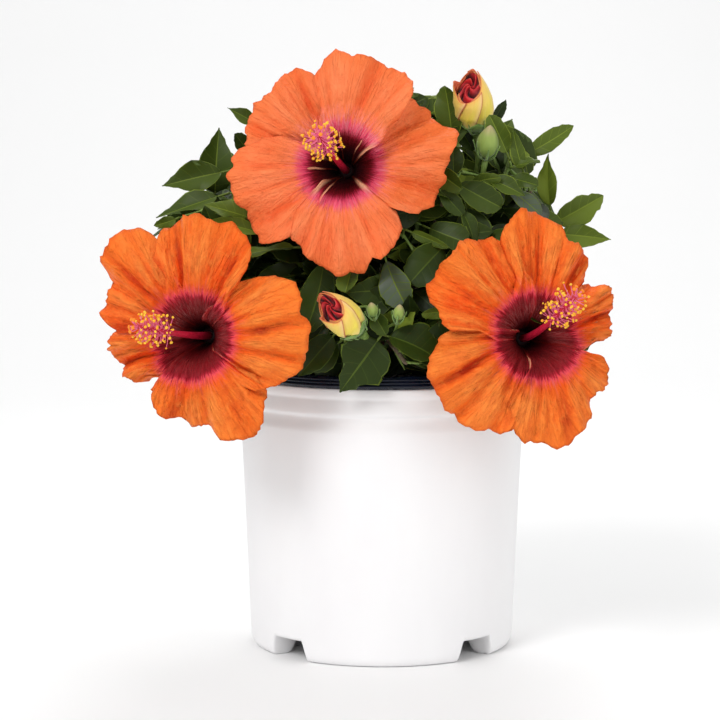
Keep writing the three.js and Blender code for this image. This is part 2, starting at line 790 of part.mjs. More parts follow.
// Twigs stand round their mass's stem by the golden angle, spread wide at its foot and closer to its
// line at its end. One that has no room turns on, and gets shorter, until it has.
const TWIG_TRIES = 7;
function growTwigs(mass) {
  const stem = mass.stem;
  return Array.from({ length: TWIGS_PER_MASS }, (_, i) => i / (TWIGS_PER_MASS - 1)).flatMap(
    (share, i) => {
      const start = stem.at(mix(0.08, 0.96, share));
      const along = stem.curve.getTangent(share);
      const spread = radians(mix(...TWIG_SPREAD, share));
      for (let attempt = 0; attempt < TWIG_TRIES; attempt++) {
        const side = new THREE.Vector3(0.2, 0.1, 1).cross(along).normalize();
        side.applyAxisAngle(along, radians(GOLDEN_ANGLE * i + 52 * attempt));
        const length = TWIG_LENGTH * (1 - 0.09 * attempt);
        const end = start
          .clone()
          .addScaledVector(along, length * Math.cos(spread))
          .addScaledVector(side, length * Math.sin(spread));
        const twig = new Limb(start, start.clone().lerp(end, 0.5), end, TWIG_RADII, 3, 1);
        const meetsStalk = twig.samples.some((p) => stalks.some((stalk) => stalk.near(p, 4)));
        if (!meetsStalk && isFree(twig.samples.slice(3), mass, 0)) return [twig];
      }
      return [];
    },
  );
}

// Leaves stand round a limb by 144 degrees. One that has no room turns about the limb, then leans
// and shrinks, to find some. Blades lie along the crown's surface and face out of it.
const LEAF_TURNS = 5;
const LEAF_LEANS = [
  { sideways: 1.2, outwards: 0.15, size: 1 },
  { sideways: 0.8, outwards: 0.45, size: 0.95 },
  { sideways: 1.7, outwards: 0, size: 0.8 },
  { sideways: 1, outwards: 0.7, size: 0.7 },
];
function leavesOn(limb, mass, from, count, grown, random) {
  const neighbours = mass.limbs.filter((other) => other !== limb);
  for (let i = 0; i < count; i++) {
    const t = mix(from, 1, i / (count - 1));
    const stem = limb.curve.getTangent(t);
    const ending = i === count - 1;
    const root = limb.at(t).addScaledVector(stem, ending ? -1.2 : 0);
    const outward = root.clone().sub(CROWN_CENTRE).divide(CROWN_REACH).normalize();
    const length = LEAF_LENGTH * mix(0.82, 1.04, random());
    const face = outward.clone().add(new THREE.Vector3(0.3 * (random() - 0.5), -0.2, 0.45));
    for (let attempt = 0; attempt < LEAF_LEANS.length * LEAF_TURNS; attempt++) {
      const round = Math.floor(attempt / LEAF_TURNS);
      const { sideways, outwards, size } = LEAF_LEANS[round];
      const side = new THREE.Vector3(0.2, 0.1, 1).cross(stem).normalize();
      side.applyAxisAngle(stem, radians(144 * i + 72 * attempt + 36 * round));
      const along = stem.clone().addScaledVector(side, ending ? 0.5 : sideways);
      along.addScaledVector(outward, outwards - 0.75 * along.dot(outward)).normalize();
      const leaf = leafPoints(root, along, face, size * length);
      if (isFree(leaf.samples, mass, 0) && isApart(leaf, grown, neighbours)) {
        grown.push(leaf);
        break;
      }
    }
  }
}
const isApart = (leaf, others, limbs) =>
  others.every((other) =>
    leaf.samples.every((a) => other.samples.every((b) => a.distanceTo(b) > LEAF_SPACING)),
  ) && leaf.samples.every((a) => !limbs.some((limb) => limb.near(a, 2)));

const guard = wasm.Manifold.union([
  ...[...boughs, ...stalks].map((limb) => limb.solid(GAP)),
  ...BLOOMS.map((bloom) => bloom.corolla),
]);
for (const mass of MASSES) {
  const random = seeded(mass.seed);
  const twigs = growTwigs(mass);
  mass.limbs = [mass.stem, ...twigs];
  const leaves = [];
  for (const twig of twigs) leavesOn(twig, mass, 0.25, LEAVES_PER_TWIG, leaves, random);
  leavesOn(mass.stem, mass, 0.4, 4, leaves, random);
  const grown = [...mass.limbs.slice(1).map((limb) => limb.solid()), ...leaves.map(leafSolid)];
  // What still touches a bough, a stalk or a bloom is left out
  const clear = grown.filter((solid) => solid.intersect(guard).isEmpty());
  addNode(`foliage_${mass.name}`, joined([mass.stem.solid(), ...clear]), "leaf");
}
// The origin goes under the middle of the whole plant's box
const box = new THREE.Box3().setFromObject(plant);
const middle = box.getCenter(new THREE.Vector3());
plant.position.set(-middle.x, -middle.y, 0);

export default plant;
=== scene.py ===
# %% [markdown]
# # A potted hibiscus shrub
# This lesson dresses the plain solids of a young hibiscus in its nursery pot. Everything is worked
# out from named sizes, with numpy for the shapes and shader nodes for the finishes.
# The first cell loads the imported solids. They stay where they are, and each piece below is built
# over the solid that it stands for.

import math

import bmesh
import bpy
import numpy as np
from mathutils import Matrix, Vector


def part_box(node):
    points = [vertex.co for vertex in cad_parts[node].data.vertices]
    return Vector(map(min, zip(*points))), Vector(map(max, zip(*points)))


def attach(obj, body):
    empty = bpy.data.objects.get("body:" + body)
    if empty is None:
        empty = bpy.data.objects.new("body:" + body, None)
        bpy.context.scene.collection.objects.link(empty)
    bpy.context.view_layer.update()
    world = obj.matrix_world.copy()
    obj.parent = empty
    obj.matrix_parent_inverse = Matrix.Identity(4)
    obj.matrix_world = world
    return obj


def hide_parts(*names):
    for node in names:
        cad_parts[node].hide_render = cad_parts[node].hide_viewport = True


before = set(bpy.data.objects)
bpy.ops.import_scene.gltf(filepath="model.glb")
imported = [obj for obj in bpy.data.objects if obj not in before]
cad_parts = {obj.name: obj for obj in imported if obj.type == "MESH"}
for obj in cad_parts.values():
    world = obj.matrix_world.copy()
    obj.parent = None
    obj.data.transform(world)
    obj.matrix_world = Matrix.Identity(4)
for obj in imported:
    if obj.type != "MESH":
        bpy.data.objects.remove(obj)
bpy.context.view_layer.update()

# %% [markdown]
# ## Units and camera
# The plant was measured in millimetres from the pot's own axis, so the lesson works in those, and one
# helper turns them into Blender's metres. The camera stands 1.4 m in front of the pot, a little above
# the blooms, and looks slightly down, which is how the pot's rim and foot were seen. A long lens from
# there keeps the pot's sides nearly parallel.

# %% Units and camera
MM = 0.001
# where the camera stands in mm, how many degrees it looks down, and its lens
EYE = (-12.8, -1381.7, 303.7)
EYE_TILT = 5.68
LENS = 118.4
pot_low, pot_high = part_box("pot_wall")
POT_AXIS = np.array([(pot_low.x + pot_high.x) / 2, (pot_low.y + pot_high.y) / 2, 0.0])


def metres(points):
    """Points in millimetres from the pot's axis, as metres in the frame."""
    return np.asarray(points, float) * MM + POT_AXIS


def in_scene(name, data):
    """An object of the scene that shows a camera, a lamp or a mesh."""
    made = bpy.data.objects.new(name, data)
    bpy.context.scene.collection.objects.link(made)
    return made


camera = in_scene("camera", bpy.data.cameras.new("camera"))
camera.data.lens = LENS
camera.location = metres(EYE)
camera.rotation_euler = (math.radians(90 - EYE_TILT), 0, 0)
bpy.context.scene.camera = camera
print("camera at", [round(x, 3) for x in camera.location])

# %% [markdown]
# ## Small helpers
# Shapes are grids of points: a petal, a leaf, a stalk and the pot are each rows of points with faces
# between them. Working on whole arrays keeps thousands of leaves fast, and one helper then hands the
# points to Blender as a mesh.

# %% Vectors and grids
UP = np.array([0.0, 0.0, 1.0])


def unit(v):
    v = np.asarray(v, float)
    return v / np.linalg.norm(v, axis=-1, keepdims=True)


def mix(a, b, t):
    return a + (b - a) * t


def smoothstep(x, low, high):
    t = np.clip((x - low) / (high - low), 0, 1)
    return t * t * (3 - 2 * t)


def turn_about(v, axis, degrees):
    """v turned about a unit axis."""
    angle = math.radians(degrees)
    swung = np.cross(axis, v)
    return v * math.cos(angle) + swung * math.sin(angle) + axis * np.dot(axis, v) * (1 - math.cos(angle))


def grid_faces(rows, columns, wrap=False, first=0):
    """Quads between neighbouring rows and columns of points that are numbered row by row."""
    row, column = np.meshgrid(np.arange(rows - 1), np.arange(columns - (not wrap)), indexing="ij")
    beside = (column + 1) % columns
    a, b = row * columns + column, row * columns + beside
    return np.stack([a, b, b + columns, a + columns], -1).reshape(-1, 4) + first


def ring_turns(count):
    return np.linspace(0, 2 * math.pi, count, endpoint=False)


def ring_pairs(count):
    """Each corner of a ring with the next one."""
    corner = np.arange(count)
    return list(zip(corner, (corner + 1) % count))


# %% Meshes
def new_piece(name, points, faces, materials, tints=None, slot=None, replaces=(), smooth=True, values=None):
    """A mesh object on the body root. tints gives each face's place in materials, and values holds
    named numbers for each point, which a finish can read."""
    mesh = bpy.data.meshes.new(name)
    mesh.from_pydata(metres(points).tolist(), [], [list(map(int, f)) for f in faces])
    for value_name, numbers in (values or {}).items():
        layer = mesh.attributes.new(value_name, "FLOAT", "POINT")
        layer.data.foreach_set("value", np.asarray(numbers, np.float32))
    for material in materials:
        mesh.materials.append(material)
    if tints is not None:
        mesh.polygons.foreach_set("material_index", np.asarray(tints, np.int32))
    mesh.polygons.foreach_set("use_smooth", np.full(len(mesh.polygons), smooth))
    piece = in_scene(name, mesh)
    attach(piece, "root")
    if replaces:
        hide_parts(*replaces)
    return piece


def clean(piece, merge=0.00001):
    """Joins points that coincide and turns every face outwards."""
    work = bmesh.new()
    work.from_mesh(piece.data)
    bmesh.ops.remove_doubles(work, verts=work.verts, dist=merge)
    bmesh.ops.dissolve_degenerate(work, edges=work.edges, dist=merge)
    bmesh.ops.recalc_face_normals(work, faces=work.faces)
    work.to_mesh(piece.data)
    work.free()


class Heap:
    """Collects many small meshes, to be made into one piece."""

    def __init__(self):
        self.points, self.faces, self.tints, self.count = [], [], [], 0

    def add(self, points, faces, tint=0):
        points = np.asarray(points, float).reshape(-1, 3)
        listed = faces.tolist() if isinstance(faces, np.ndarray) else faces
        self.points.append(points)
        self.faces += [[i + self.count for i in face] for face in listed]
        self.tints.extend(np.broadcast_to(tint, len(faces)).tolist())
        self.count += len(points)

    def piece(self, name, materials, **more):
        return new_piece(name, np.vstack(self.points), self.faces, materials, self.tints, **more)


# %% [markdown]
# ## Floor and light
# The pot was photographed on plain white under large soft lights. A big pale sheet that sweeps up
# behind the pot gives that without an edge, and three wide area lights with a bright, even
# surrounding keep the shadows soft. Blender's usual view fades strong colours, and petals are
# nothing but strong colour, so the plain Standard view is used.

# %% Floor and light
FLOOR_REACH, SWEEP_START, SWEEP_RADIUS, SWEEP_TOP = 3.0, 1.2, 0.8, 2.5
FLOOR_WHITE, SURROUND = (0.93, 0.93, 0.93), 0.66
LIT_POINT = (0, 0, 0.18)
# place and width in metres, and power
LIGHTS = {
    "key": ((-0.9, -1.5, 1.5), 0.9, 20),
    "fill": ((1.3, -1.2, 0.8), 1.2, 4.5),
    "back": ((0.2, 1.0, 1.7), 1.0, 11),
}


def plain_material(name, color, roughness):
    material = bpy.data.materials.new(name)
    material.use_nodes = True
    shader = material.node_tree.nodes["Principled BSDF"]
    shader.inputs["Base Color"].default_value = (*color, 1)
    shader.inputs["Roughness"].default_value = roughness
    return material


bends = [math.radians(a) for a in range(0, 91, 10)]
profile = [(-FLOOR_REACH, 0.0)]
profile += [(SWEEP_START + SWEEP_RADIUS * math.sin(a), SWEEP_RADIUS * (1 - math.cos(a))) for a in bends]
profile += [(SWEEP_START + SWEEP_RADIUS, SWEEP_TOP)]
sheet_points = [(x, y, z) for y, z in profile for x in (-FLOOR_REACH, FLOOR_REACH)]
floor_mesh = bpy.data.meshes.new("floor")
floor_mesh.from_pydata(sheet_points, [], grid_faces(len(profile), 2).tolist())
floor_mesh.materials.append(plain_material("studio_white", FLOOR_WHITE, 0.6))
floor_mesh.polygons.foreach_set("use_smooth", np.full(len(floor_mesh.polygons), True))
floor = in_scene("floor", floor_mesh)

for name, (place, size, power) in LIGHTS.items():
    lamp = bpy.data.lights.new(name, "AREA")
    lamp.shape, lamp.size, lamp.energy = "DISK", size, power
    crest_highlight = in_scene(name, lamp)
    crest_highlight.location = place
    aim = Vector(LIT_POINT) - crest_highlight.location
    crest_highlight.rotation_euler = aim.to_track_quat("-Z", "Y").to_euler()
world = bpy.data.worlds.new("studio")
bpy.context.scene.world = world
world.use_nodes = True
world.node_tree.nodes["Background"].inputs["Color"].default_value = (1, 1, 1, 1)
world.node_tree.nodes["Background"].inputs["Strength"].default_value = SURROUND
bpy.context.scene.view_settings.view_transform = "Standard"
print("lights:", ", ".join(LIGHTS))

# %% [markdown]
# ## Shader helpers
# A finish is a small tree of nodes in front of one Principled shader. Noise gives the mottling, the
# grain and the relief. A value that is the same all over is set on the shader's own socket, and only
# what varies comes from nodes.

# %% Shader helpers
class Finish:
    """A material with one Principled shader, and short ways to set nodes in front of it."""

    def __init__(self, name, color, roughness, **constants):
        self.material = plain_material(name, color, roughness)
        self.tree = self.material.node_tree
        self.shader = self.tree.nodes["Principled BSDF"]
        for socket, value in constants.items():
            self.shader.inputs[socket.replace("_", " ")].default_value = value

    def node(self, kind, settings=None, **inputs):
        made = self.tree.nodes.new("ShaderNode" + kind)
        for name, value in (settings or {}).items():
            setattr(made, name, value)
        for name, value in inputs.items():
            self.feed(made.inputs[name.replace("_", " ")], value)
        return made

    def feed(self, socket, value):
        if isinstance(value, bpy.types.NodeSocket):
            self.tree.links.new(value, socket)
        else:
            socket.default_value = value

    def maths(self, operation, *values, clamp=False):
        made = self.node("Math", {"operation": operation, "use_clamp": clamp})
        for socket, value in zip(made.inputs, values):
            self.feed(socket, value)
        return made.outputs[0]

    def times(self, first, second):
        return self.maths("MULTIPLY", first, second)

    def plus(self, first, second):
        return self.maths("ADD", first, second)

    def attribute(self, name):
        return self.node("Attribute", {"attribute_name": name}).outputs["Fac"]

    def place(self, stretch=(1, 1, 1)):
        """The object's own coordinates in metres, scaled along each axis."""
        coordinates = self.node("TexCoord").outputs["Object"]
        return self.node("Mapping", Vector=coordinates, Scale=stretch).outputs[0]

    def noise(self, where, scale, detail=3.0, roughness=0.55, distortion=0.0):
        made = self.node("TexNoise", Vector=where, Scale=scale, Detail=detail)
        made.inputs["Roughness"].default_value = roughness
        made.inputs["Distortion"].default_value = distortion
        return made.outputs["Fac"]

    def ramp(self, value, stops):
        """Colours, or greys given as one number, along a value from 0 to 1."""
        made = self.node("ValToRGB", Fac=value)
        band = made.color_ramp
        while len(band.elements) < len(stops):
            band.elements.new(0.5)
        for element, (at, color) in zip(band.elements, stops):
            element.position = at
            element.color = (*color, 1) if isinstance(color, tuple) else (color, color, color, 1)
        return made.outputs["Color"]

    def blend(self, amount, first, second):
        made = self.node("Mix", {"data_type": "RGBA"})
        for name, value in (("Factor", amount), ("A", first), ("B", second)):
            self.feed(next(s for s in made.inputs if s.name == name and s.enabled), value)
        return next(s for s in made.outputs if s.enabled)

    def color(self, value):
        self.feed(self.shader.inputs["Base Color"], value)
        return self

    def roughness(self, value):
        self.feed(self.shader.inputs["Roughness"], value)
        return self

    def relief(self, height, depth_mm, strength=1.0):
        """Bumps of that depth from a height that runs from 0 to 1."""
        bump = self.node("Bump", Height=height)
        bump.inputs["Strength"].default_value = strength
        bump.inputs["Distance"].default_value = depth_mm * MM
        self.feed(self.shader.inputs["Normal"], bump.outputs[0])
        return self

    def mottled(self, tones, depth_mm, stretch, scale, *detail):
        """One noise that picks the colour and raises the relief. It is handed back."""
        mottle = self.noise(self.place(stretch), scale, *detail)
        self.color(self.ramp(mottle, tones)).relief(mottle, depth_mm)
        return mottle


# %% [markdown]
# ## The pot
# The pot is a thin blow-moulded wall. Cutting the drain channels with a Boolean would leave sharp
# edges, and the real ones are soft. So the wall is turned round the axis with two sections, one
# through the foot and one through a channel, and each angle takes a blend of the two. The moulded
# corners then come out rounded by themselves.

# %% Turned shapes
def rounded(points, passes=2):
    """An open line with its corners cut a few times over, and its ends kept."""
    points = np.asarray(points, float)
    for _ in range(passes):
        a, b = points[:-1], points[1:]
        cut = np.stack([a * 0.75 + b * 0.25, a * 0.25 + b * 0.75], 1).reshape(-1, points.shape[1])
        points = np.vstack([points[:1], cut, points[-1:]])
    return points


def closed_lathe(profiles, angles):
    """Points of one profile of (radius, height) for each angle, and the faces round the axis."""
    radii, heights = profiles[..., 0], profiles[..., 1]
    turned = np.stack([radii * np.cos(angles)[:, None], radii * np.sin(angles)[:, None], heights], -1)
    points = turned.reshape(-1, 3)
    return points, grid_faces(len(angles) + 1, profiles.shape[1]) % len(points)


def turned_piece(name, points, faces, finish, slot, node):
    piece = new_piece(name, points, faces, [finish.material], slot=slot, replaces=[node])
    clean(piece)
    print(name, "has", len(piece.data.polygons), "faces")
    return piece


# %% The wall's sections
# (radius, height) in mm: down the outside, through the foot or through a channel to the axis and back,
# and up the inside
WALL_OUTSIDE = [(78.5, 157.7), (79.9, 157.7), (81.1, 157.5), (81.1, 153.4), (80.1, 151.6), (80.5, 149.6)]
WALL_OUTSIDE += [(81.4, 143.9), (81.1, 142.5), (80.0, 141.3), (80.7, 138.4), (82.4, 134.4), (82.5, 131.5)]
WALL_OUTSIDE += [(79.9, 75.0)]
FOOT_SECTION = [(77.35, 14), (77.1, 8), (76.7, 3.4), (74.8, 0.4), (72, 0), (65.5, 0), (63, 1.4)]
FOOT_SECTION += [(60.6, 5.8), (58.6, 11), (56, 11), (0, 11), (0, 12.5), (58.5, 12.5), (64, 4), (66, 1.6)]
FOOT_SECTION += [(71.6, 1.6), (74.6, 3.2), (75.6, 8), (75.85, 14)]
CHANNEL_SECTION = [(77.6, 20), (77.45, 16), (77.3, 13.4), (76.4, 12), (74.5, 11.6), (70, 11.5), (66, 11.4)]
CHANNEL_SECTION += [(62, 11.2), (59, 11), (56, 11), (0, 11), (0, 12.5), (58.5, 12.5), (61, 12.7)]
CHANNEL_SECTION += [(66, 12.9), (71.6, 13), (74.4, 13.6), (75.6, 15.5), (75.9, 19)]
WALL_INSIDE = [(78.4, 75), (81, 131.5), (80.9, 134), (78.5, 141.3), (78.5, 157.7)]
CHANNELS = np.radians([45, 135, 225, 315])
CHANNEL_HALF = math.radians(9.3)
CHANNEL_EDGE = math.radians(1.5)
# even turns in degrees, and closer ones in radians on either side of a channel's edge
WALL_STEP, EDGE_TURNS = 4.0, np.linspace(-0.04, 0.04, 9)

fine = [middle + side * CHANNEL_HALF + turn for middle in CHANNELS for side in (-1, 1) for turn in EDGE_TURNS]
even = np.radians(np.arange(0, 360, WALL_STEP))
angles = np.unique(np.round(np.concatenate([even, fine]) % (2 * math.pi), 5))
from_channel = np.abs((angles[:, None] - CHANNELS + math.pi) % (2 * math.pi) - math.pi).min(1)
in_channel = 1 - smoothstep(from_channel, CHANNEL_HALF - CHANNEL_EDGE, CHANNEL_HALF + CHANNEL_EDGE)
foot = rounded(WALL_OUTSIDE + FOOT_SECTION + WALL_INSIDE)
channel = rounded(WALL_OUTSIDE + CHANNEL_SECTION + WALL_INSIDE)
sections = mix(foot, channel, in_channel[:, None, None])
print("wall:", len(sections), "sections of", len(foot), "points")

# %% The pot's wall
pot_white = Finish("pot_white", (0.88, 0.87, 0.88), 0.42, Specular_IOR_Level=0.45)
cloudy = pot_white.noise(pot_white.place((1, 1, 0.35)), 14, 4)
pot_white.color(pot_white.ramp(cloudy, [(0.3, (0.86, 0.85, 0.86)), (0.7, (0.91, 0.905, 0.91))]))
pot_white.roughness(pot_white.ramp(pot_white.noise(pot_white.place(), 60, 5), [(0.3, 0.36), (0.75, 0.5)]))
pot_white.relief(pot_white.noise(pot_white.place((1, 1, 0.4)), 220, 4), 0.12, 0.5)
points, faces = closed_lathe(sections, angles)
pot_wall = turned_piece("pot_wall_moulded", points, faces, pot_white, "pot_plastic", "pot_wall")

# %% [markdown]
# ## Drain holes
# Each channel has a slot to the inside of the pot, punched through the thin plastic with a crisp edge.
# A hole can't be turned like the rest of the wall, so here a Boolean is the right tool: four boxes,
# joined in one mesh, are cut away at once.

# %% Drain holes
# the slot's size outwards, sideways and upwards, and where its middle is
DRAIN_HOLE = (9, 13, 8)
DRAIN_REACH, DRAIN_Z = 68, 11.5
holes = Heap()
for angle in CHANNELS:
    corners = np.array([(x, y, z) for x in (-1, 1) for y in (-1, 1) for z in (-1, 1)]) * DRAIN_HOLE / 2
    corners += (DRAIN_REACH, 0, DRAIN_Z)
    cosine, sine = math.cos(angle), math.sin(angle)
    around = np.array([[cosine, -sine, 0], [sine, cosine, 0], [0, 0, 1]])
    cube = [(0, 1, 3, 2), (4, 6, 7, 5), (0, 4, 5, 1), (2, 3, 7, 6), (0, 2, 6, 4), (1, 5, 7, 3)]
    holes.add(corners @ around.T, cube)
cutter = holes.piece("cutter", [pot_white.material], smooth=False)
cut = pot_wall.modifiers.new("drain", "BOOLEAN")
cut.operation, cut.solver, cut.object = "DIFFERENCE", "EXACT", cutter
graph = bpy.context.evaluated_depsgraph_get()
drained = bpy.data.meshes.new_from_object(pot_wall.evaluated_get(graph))
pot_wall.modifiers.clear()
pot_wall.data = drained
bpy.data.objects.remove(cutter)
print("drained wall:", len(pot_wall.data.polygons), "faces")

# %% [markdown]
# ## The rim
# The lip is a dark blue-black moulding with three rolled ribs round its face, which catch the light
# as thin lines. Bump alone would leave its outline straight, so the ribs are in the turned section.

# %% The rim
# mm, the skirt being the part that reaches down inside the wall
RIM_RADIUS, RIM_FOOT, RIM_TOP = 83.5, 158.0, 165.0
SKIRT_INNER, SKIRT_OUTER, SKIRT_FOOT = 77.3, 78.2, 144
RIBS, RIB_DEPTH, RIB_SPAN, RIM_STEP = 3, 0.8, 5.4, 3.6
rib_turns = np.linspace(0, RIBS * math.pi, 10 * RIBS + 1)
rib_out = RIM_RADIUS - RIB_DEPTH + RIB_DEPTH * np.abs(np.sin(rib_turns)) ** 0.7
rings = list(zip(rib_out, RIM_FOOT + 0.7 + RIB_SPAN * rib_turns / rib_turns[-1]))
rim_line = [(SKIRT_INNER, SKIRT_FOOT), (SKIRT_OUTER, SKIRT_FOOT), (SKIRT_OUTER, RIM_FOOT)]
rim_line += [(RIM_RADIUS - 1, RIM_FOOT), *rings, (RIM_RADIUS - 1.1, RIM_TOP - 0.3)]
rim_line += [(RIM_RADIUS - 2, RIM_TOP), (SKIRT_INNER + 2, RIM_TOP), (SKIRT_INNER + 0.4, RIM_TOP - 0.8)]
rim_line += [(SKIRT_INNER, RIM_TOP - 3), (SKIRT_INNER, SKIRT_FOOT)]
rim_profile = rounded(rim_line)
even_angles = np.radians(np.arange(0, 360, RIM_STEP))
rim_dark = Finish("rim_navy", (0.002, 0.004, 0.014), 0.28, Specular_IOR_Level=0.32)
scuffed = rim_dark.noise(rim_dark.place((1, 1, 6)), 45, 5)
rim_dark.roughness(rim_dark.ramp(scuffed, [(0.35, 0.2), (0.7, 0.38)]))
rim_dark.color(rim_dark.ramp(scuffed, [(0.3, (0.001, 0.003, 0.01)), (0.75, (0.003, 0.006, 0.02))]))
rim_dark.relief(rim_dark.noise(rim_dark.place((1, 1, 4)), 160, 3), 0.08, 0.4)
points, faces = closed_lathe(np.repeat(rim_profile[None], len(even_angles), 0), even_angles)
turned_piece("pot_rim_moulded", points, faces, rim_dark, "rim_plastic", "pot_rim")

# %% [markdown]
# ## The potting mix
# The mix is moist bark and peat, level with the foot of the rim. A flat disc with a picture of soil
# would do from afar. Here the bed is one more turned body whose top is lifted into lumps, and several
# hundred loose crumbs lie on it, because bump alone looks flat where the light is low.

# %% The potting mix
SOIL_Z, SOIL_RADIUS = 150.0, 76.8
# (radius, height) of the bed's underside and side, and waves per mm of its lumps
mix_line = [(0, 13.6), (75, 13.6), (80.5, 133), (76.6, 143), (SOIL_RADIUS, SOIL_Z - 1)]
LUMPS = (0.11, 0.27, 0.55)
radii = np.linspace(SOIL_RADIUS - 0.4, 0, 40)
bed = np.repeat(np.array(mix_line + [(r, SOIL_Z) for r in radii])[None], len(even_angles), 0)
points, faces = closed_lathe(bed, even_angles)
on_top = points[:, 2] > SOIL_Z - 0.5
x, y = points[:, 0], points[:, 1]
lumps = sum(np.sin(x * f + 1.3 * k) * np.cos(y * f * 0.93 + 2.1 * k) / (k + 1) for k, f in enumerate(LUMPS))
from_axis = np.hypot(x, y)
points[:, 2] += on_top * (0.7 * lumps - 0.4) * smoothstep(from_axis, 0, 12) * smoothstep(-from_axis, -76, -70)
peat = Finish("peat", (0.02, 0.012, 0.007), 0.95)
peat_tones = [(0.3, (0.008, 0.005, 0.003)), (0.55, (0.03, 0.018, 0.01)), (0.8, (0.075, 0.045, 0.025))]
peat.mottled(peat_tones, 1.2, (1, 1, 1), 320, 8, 0.7)
turned_piece("potting_mix_bed", points, faces, peat, "potting_mix", "potting_soil")

# %% Crumbs of bark
chip = Finish("bark_chip", (0.05, 0.028, 0.015), 0.9)
chip.mottled([(0.3, (0.022, 0.012, 0.007)), (0.7, (0.09, 0.05, 0.026))], 0.5, (1, 1, 3), 500, 4)
# how many are thrown, how far out they fall, and the room that they leave to the stem
CRUMBS, CRUMB_REACH, STEM_ROOM = 760, 74, 9
draw = np.random.default_rng(17)
ball = bmesh.new()
bmesh.ops.create_icosphere(ball, subdivisions=1, radius=1)
crumb_points = np.array([v.co for v in ball.verts])
crumb_faces = np.array([[v.index for v in f.verts] for f in ball.faces])
ball.free()
crumbs = Heap()
for k in range(CRUMBS):
    reach, around = CRUMB_REACH * math.sqrt(draw.random()), draw.uniform(0, 2 * math.pi)
    if reach < STEM_ROOM:
        continue
    size = draw.uniform(0.8, 2.6) * np.array([1, draw.uniform(0.5, 1), draw.uniform(0.35, 0.8)])
    knobbly = crumb_points * size * draw.uniform(0.75, 1.2, (len(crumb_points), 1))
    turn = np.linalg.qr(draw.normal(size=(3, 3)))[0]
    at = (reach * math.cos(around), reach * math.sin(around), SOIL_Z + 0.3)
    crumbs.add(knobbly @ turn.T + at, crumb_faces, int(draw.random() < 0.45))
crumbs.piece("potting_mix_crumbs", [peat.material, chip.material], slot="potting_mix", smooth=False)
print("crumbs:", len(crumbs.points))

# %% [markdown]
# ## The plant's plan
# These are the sizes that the solids were grown from, so that the finer plant keeps to the same
# lines. A limb is a bent line with a tapering radius. Ten boughs leave the main stem, and each ends in
# a mass of twigs and leaves with a stem of its own.

# %% The plant's plan
# mm: each pair of radii is a limb's at its foot and at its tip
STEM_FOOT, STEM_BEND, STEM_TOP = np.array([(0, 0, 150.3), (-2, 0, 178), (3, 4, 206)], float)
STEM_RADII, STEM_FLARE, BOUGH_RADII, MASS_STEM_RADII = (5.4, 4.2), 2.8, (3, 2.4), (2.4, 1.9)
# the share of the way to its mass that a bough takes, how far it arches, and the gap to the mass's stem
BOUGH_SHARE, BOUGH_ARCH, GAP = 0.42, 9, 0.3
FORK_START, FORK_SPAN = 0.25, 0.72
CROWN_CENTRE, CROWN_REACH, CROWN_SQUARENESS = np.array((0, 4, 212.0)), np.array((137, 119, 114.0)), 2.7
# name: azimuth round the stem (270 is the front), reach and height of the far end, and the share of
# the main stem where the bough leaves it
MASSES = {
    "left_low": (194, 92, 206, 0),
    "right_low": (346, 92, 204, 0.12),
    "back_left": (134, 90, 216, 0.24),
    "back_right": (46, 90, 216, 0.35),
    "front_low": (268, 70, 190, 0.46),
    "left_high": (184, 84, 260, 0.57),
    "right_high": (2, 80, 262, 0.68),
    "back_high": (88, 64, 266, 0.78),
    "front_high": (300, 54, 240, 0.88),
    "top": (100, 10, 292, 0.99),
}
print("masses of foliage:", len(MASSES))


# %% Limbs
LIMB_SAMPLES = 13


def bent(start, control, end, t):
    """Points at the shares t of a bent line from start to end."""
    t = np.asarray(t, float)[..., None]
    return (1 - t) ** 2 * start + 2 * (1 - t) * t * control + t**2 * end


class Limb:
    """A tapering limb along a bent line from start to end, by way of a control point."""

    def __init__(self, start, control, end, radii, flare=0.0):
        self.start, self.control, self.end = (np.asarray(p, float) for p in (start, control, end))
        self.radii, self.flare = radii, flare
        shares = np.linspace(0, 1, LIMB_SAMPLES)
        self.samples, self.sample_radii = self.at(shares), self.radius(shares)

    def at(self, t):
        return bent(self.start, self.control, self.end, t)

    def tangent(self, t):
        t = np.asarray(t, float)[..., None]
        return unit((1 - t) * (self.control - self.start) + t * (self.end - self.control))

    def radius(self, t):
        return mix(*self.radii, np.asarray(t, float)) + self.flare * np.exp(-16 * np.asarray(t, float))

    def near(self, points, clearance):
        """Whether each point lies within clearance of the limb's surface."""
        away = np.linalg.norm(np.asarray(points)[..., None, :] - self.samples, axis=-1)
        return (away < self.sample_radii + clearance).any(-1)


main_stem = Limb(STEM_FOOT, STEM_BEND, STEM_TOP, STEM_RADII, STEM_FLARE)
boughs, mass_stems, hearts = {}, {}, {}
for name, (azimuth, reach, height, leaves_at) in MASSES.items():
    azimuth = math.radians(azimuth)
    end = np.array([reach * math.cos(azimuth), reach * math.sin(azimuth), height])
    start = main_stem.at(FORK_START + FORK_SPAN * leaves_at)
    control = (start + end) / 2 + UP * BOUGH_ARCH
    whole = Limb(start, control, end, BOUGH_RADII)
    tip, along = whole.at(BOUGH_SHARE), whole.tangent(BOUGH_SHARE)
    boughs[name] = Limb(start, mix(start, control, BOUGH_SHARE), tip, BOUGH_RADII)
    stem_start = tip + GAP * along
    mass_stems[name] = Limb(stem_start, mix(control, end, BOUGH_SHARE) + GAP * along, end, MASS_STEM_RADII)
    hearts[name] = (stem_start + end) / 2
print("boughs:", len(boughs))

# %% [markdown]
# ## Wood
# The main stem and boughs are tubes whose rings swell and dip: low ridges run along the bark, and a
# scar bulges where each old leaf fell. The relief is in the mesh, so it also shows in the outline, and
# the finish only adds the fine cracks.

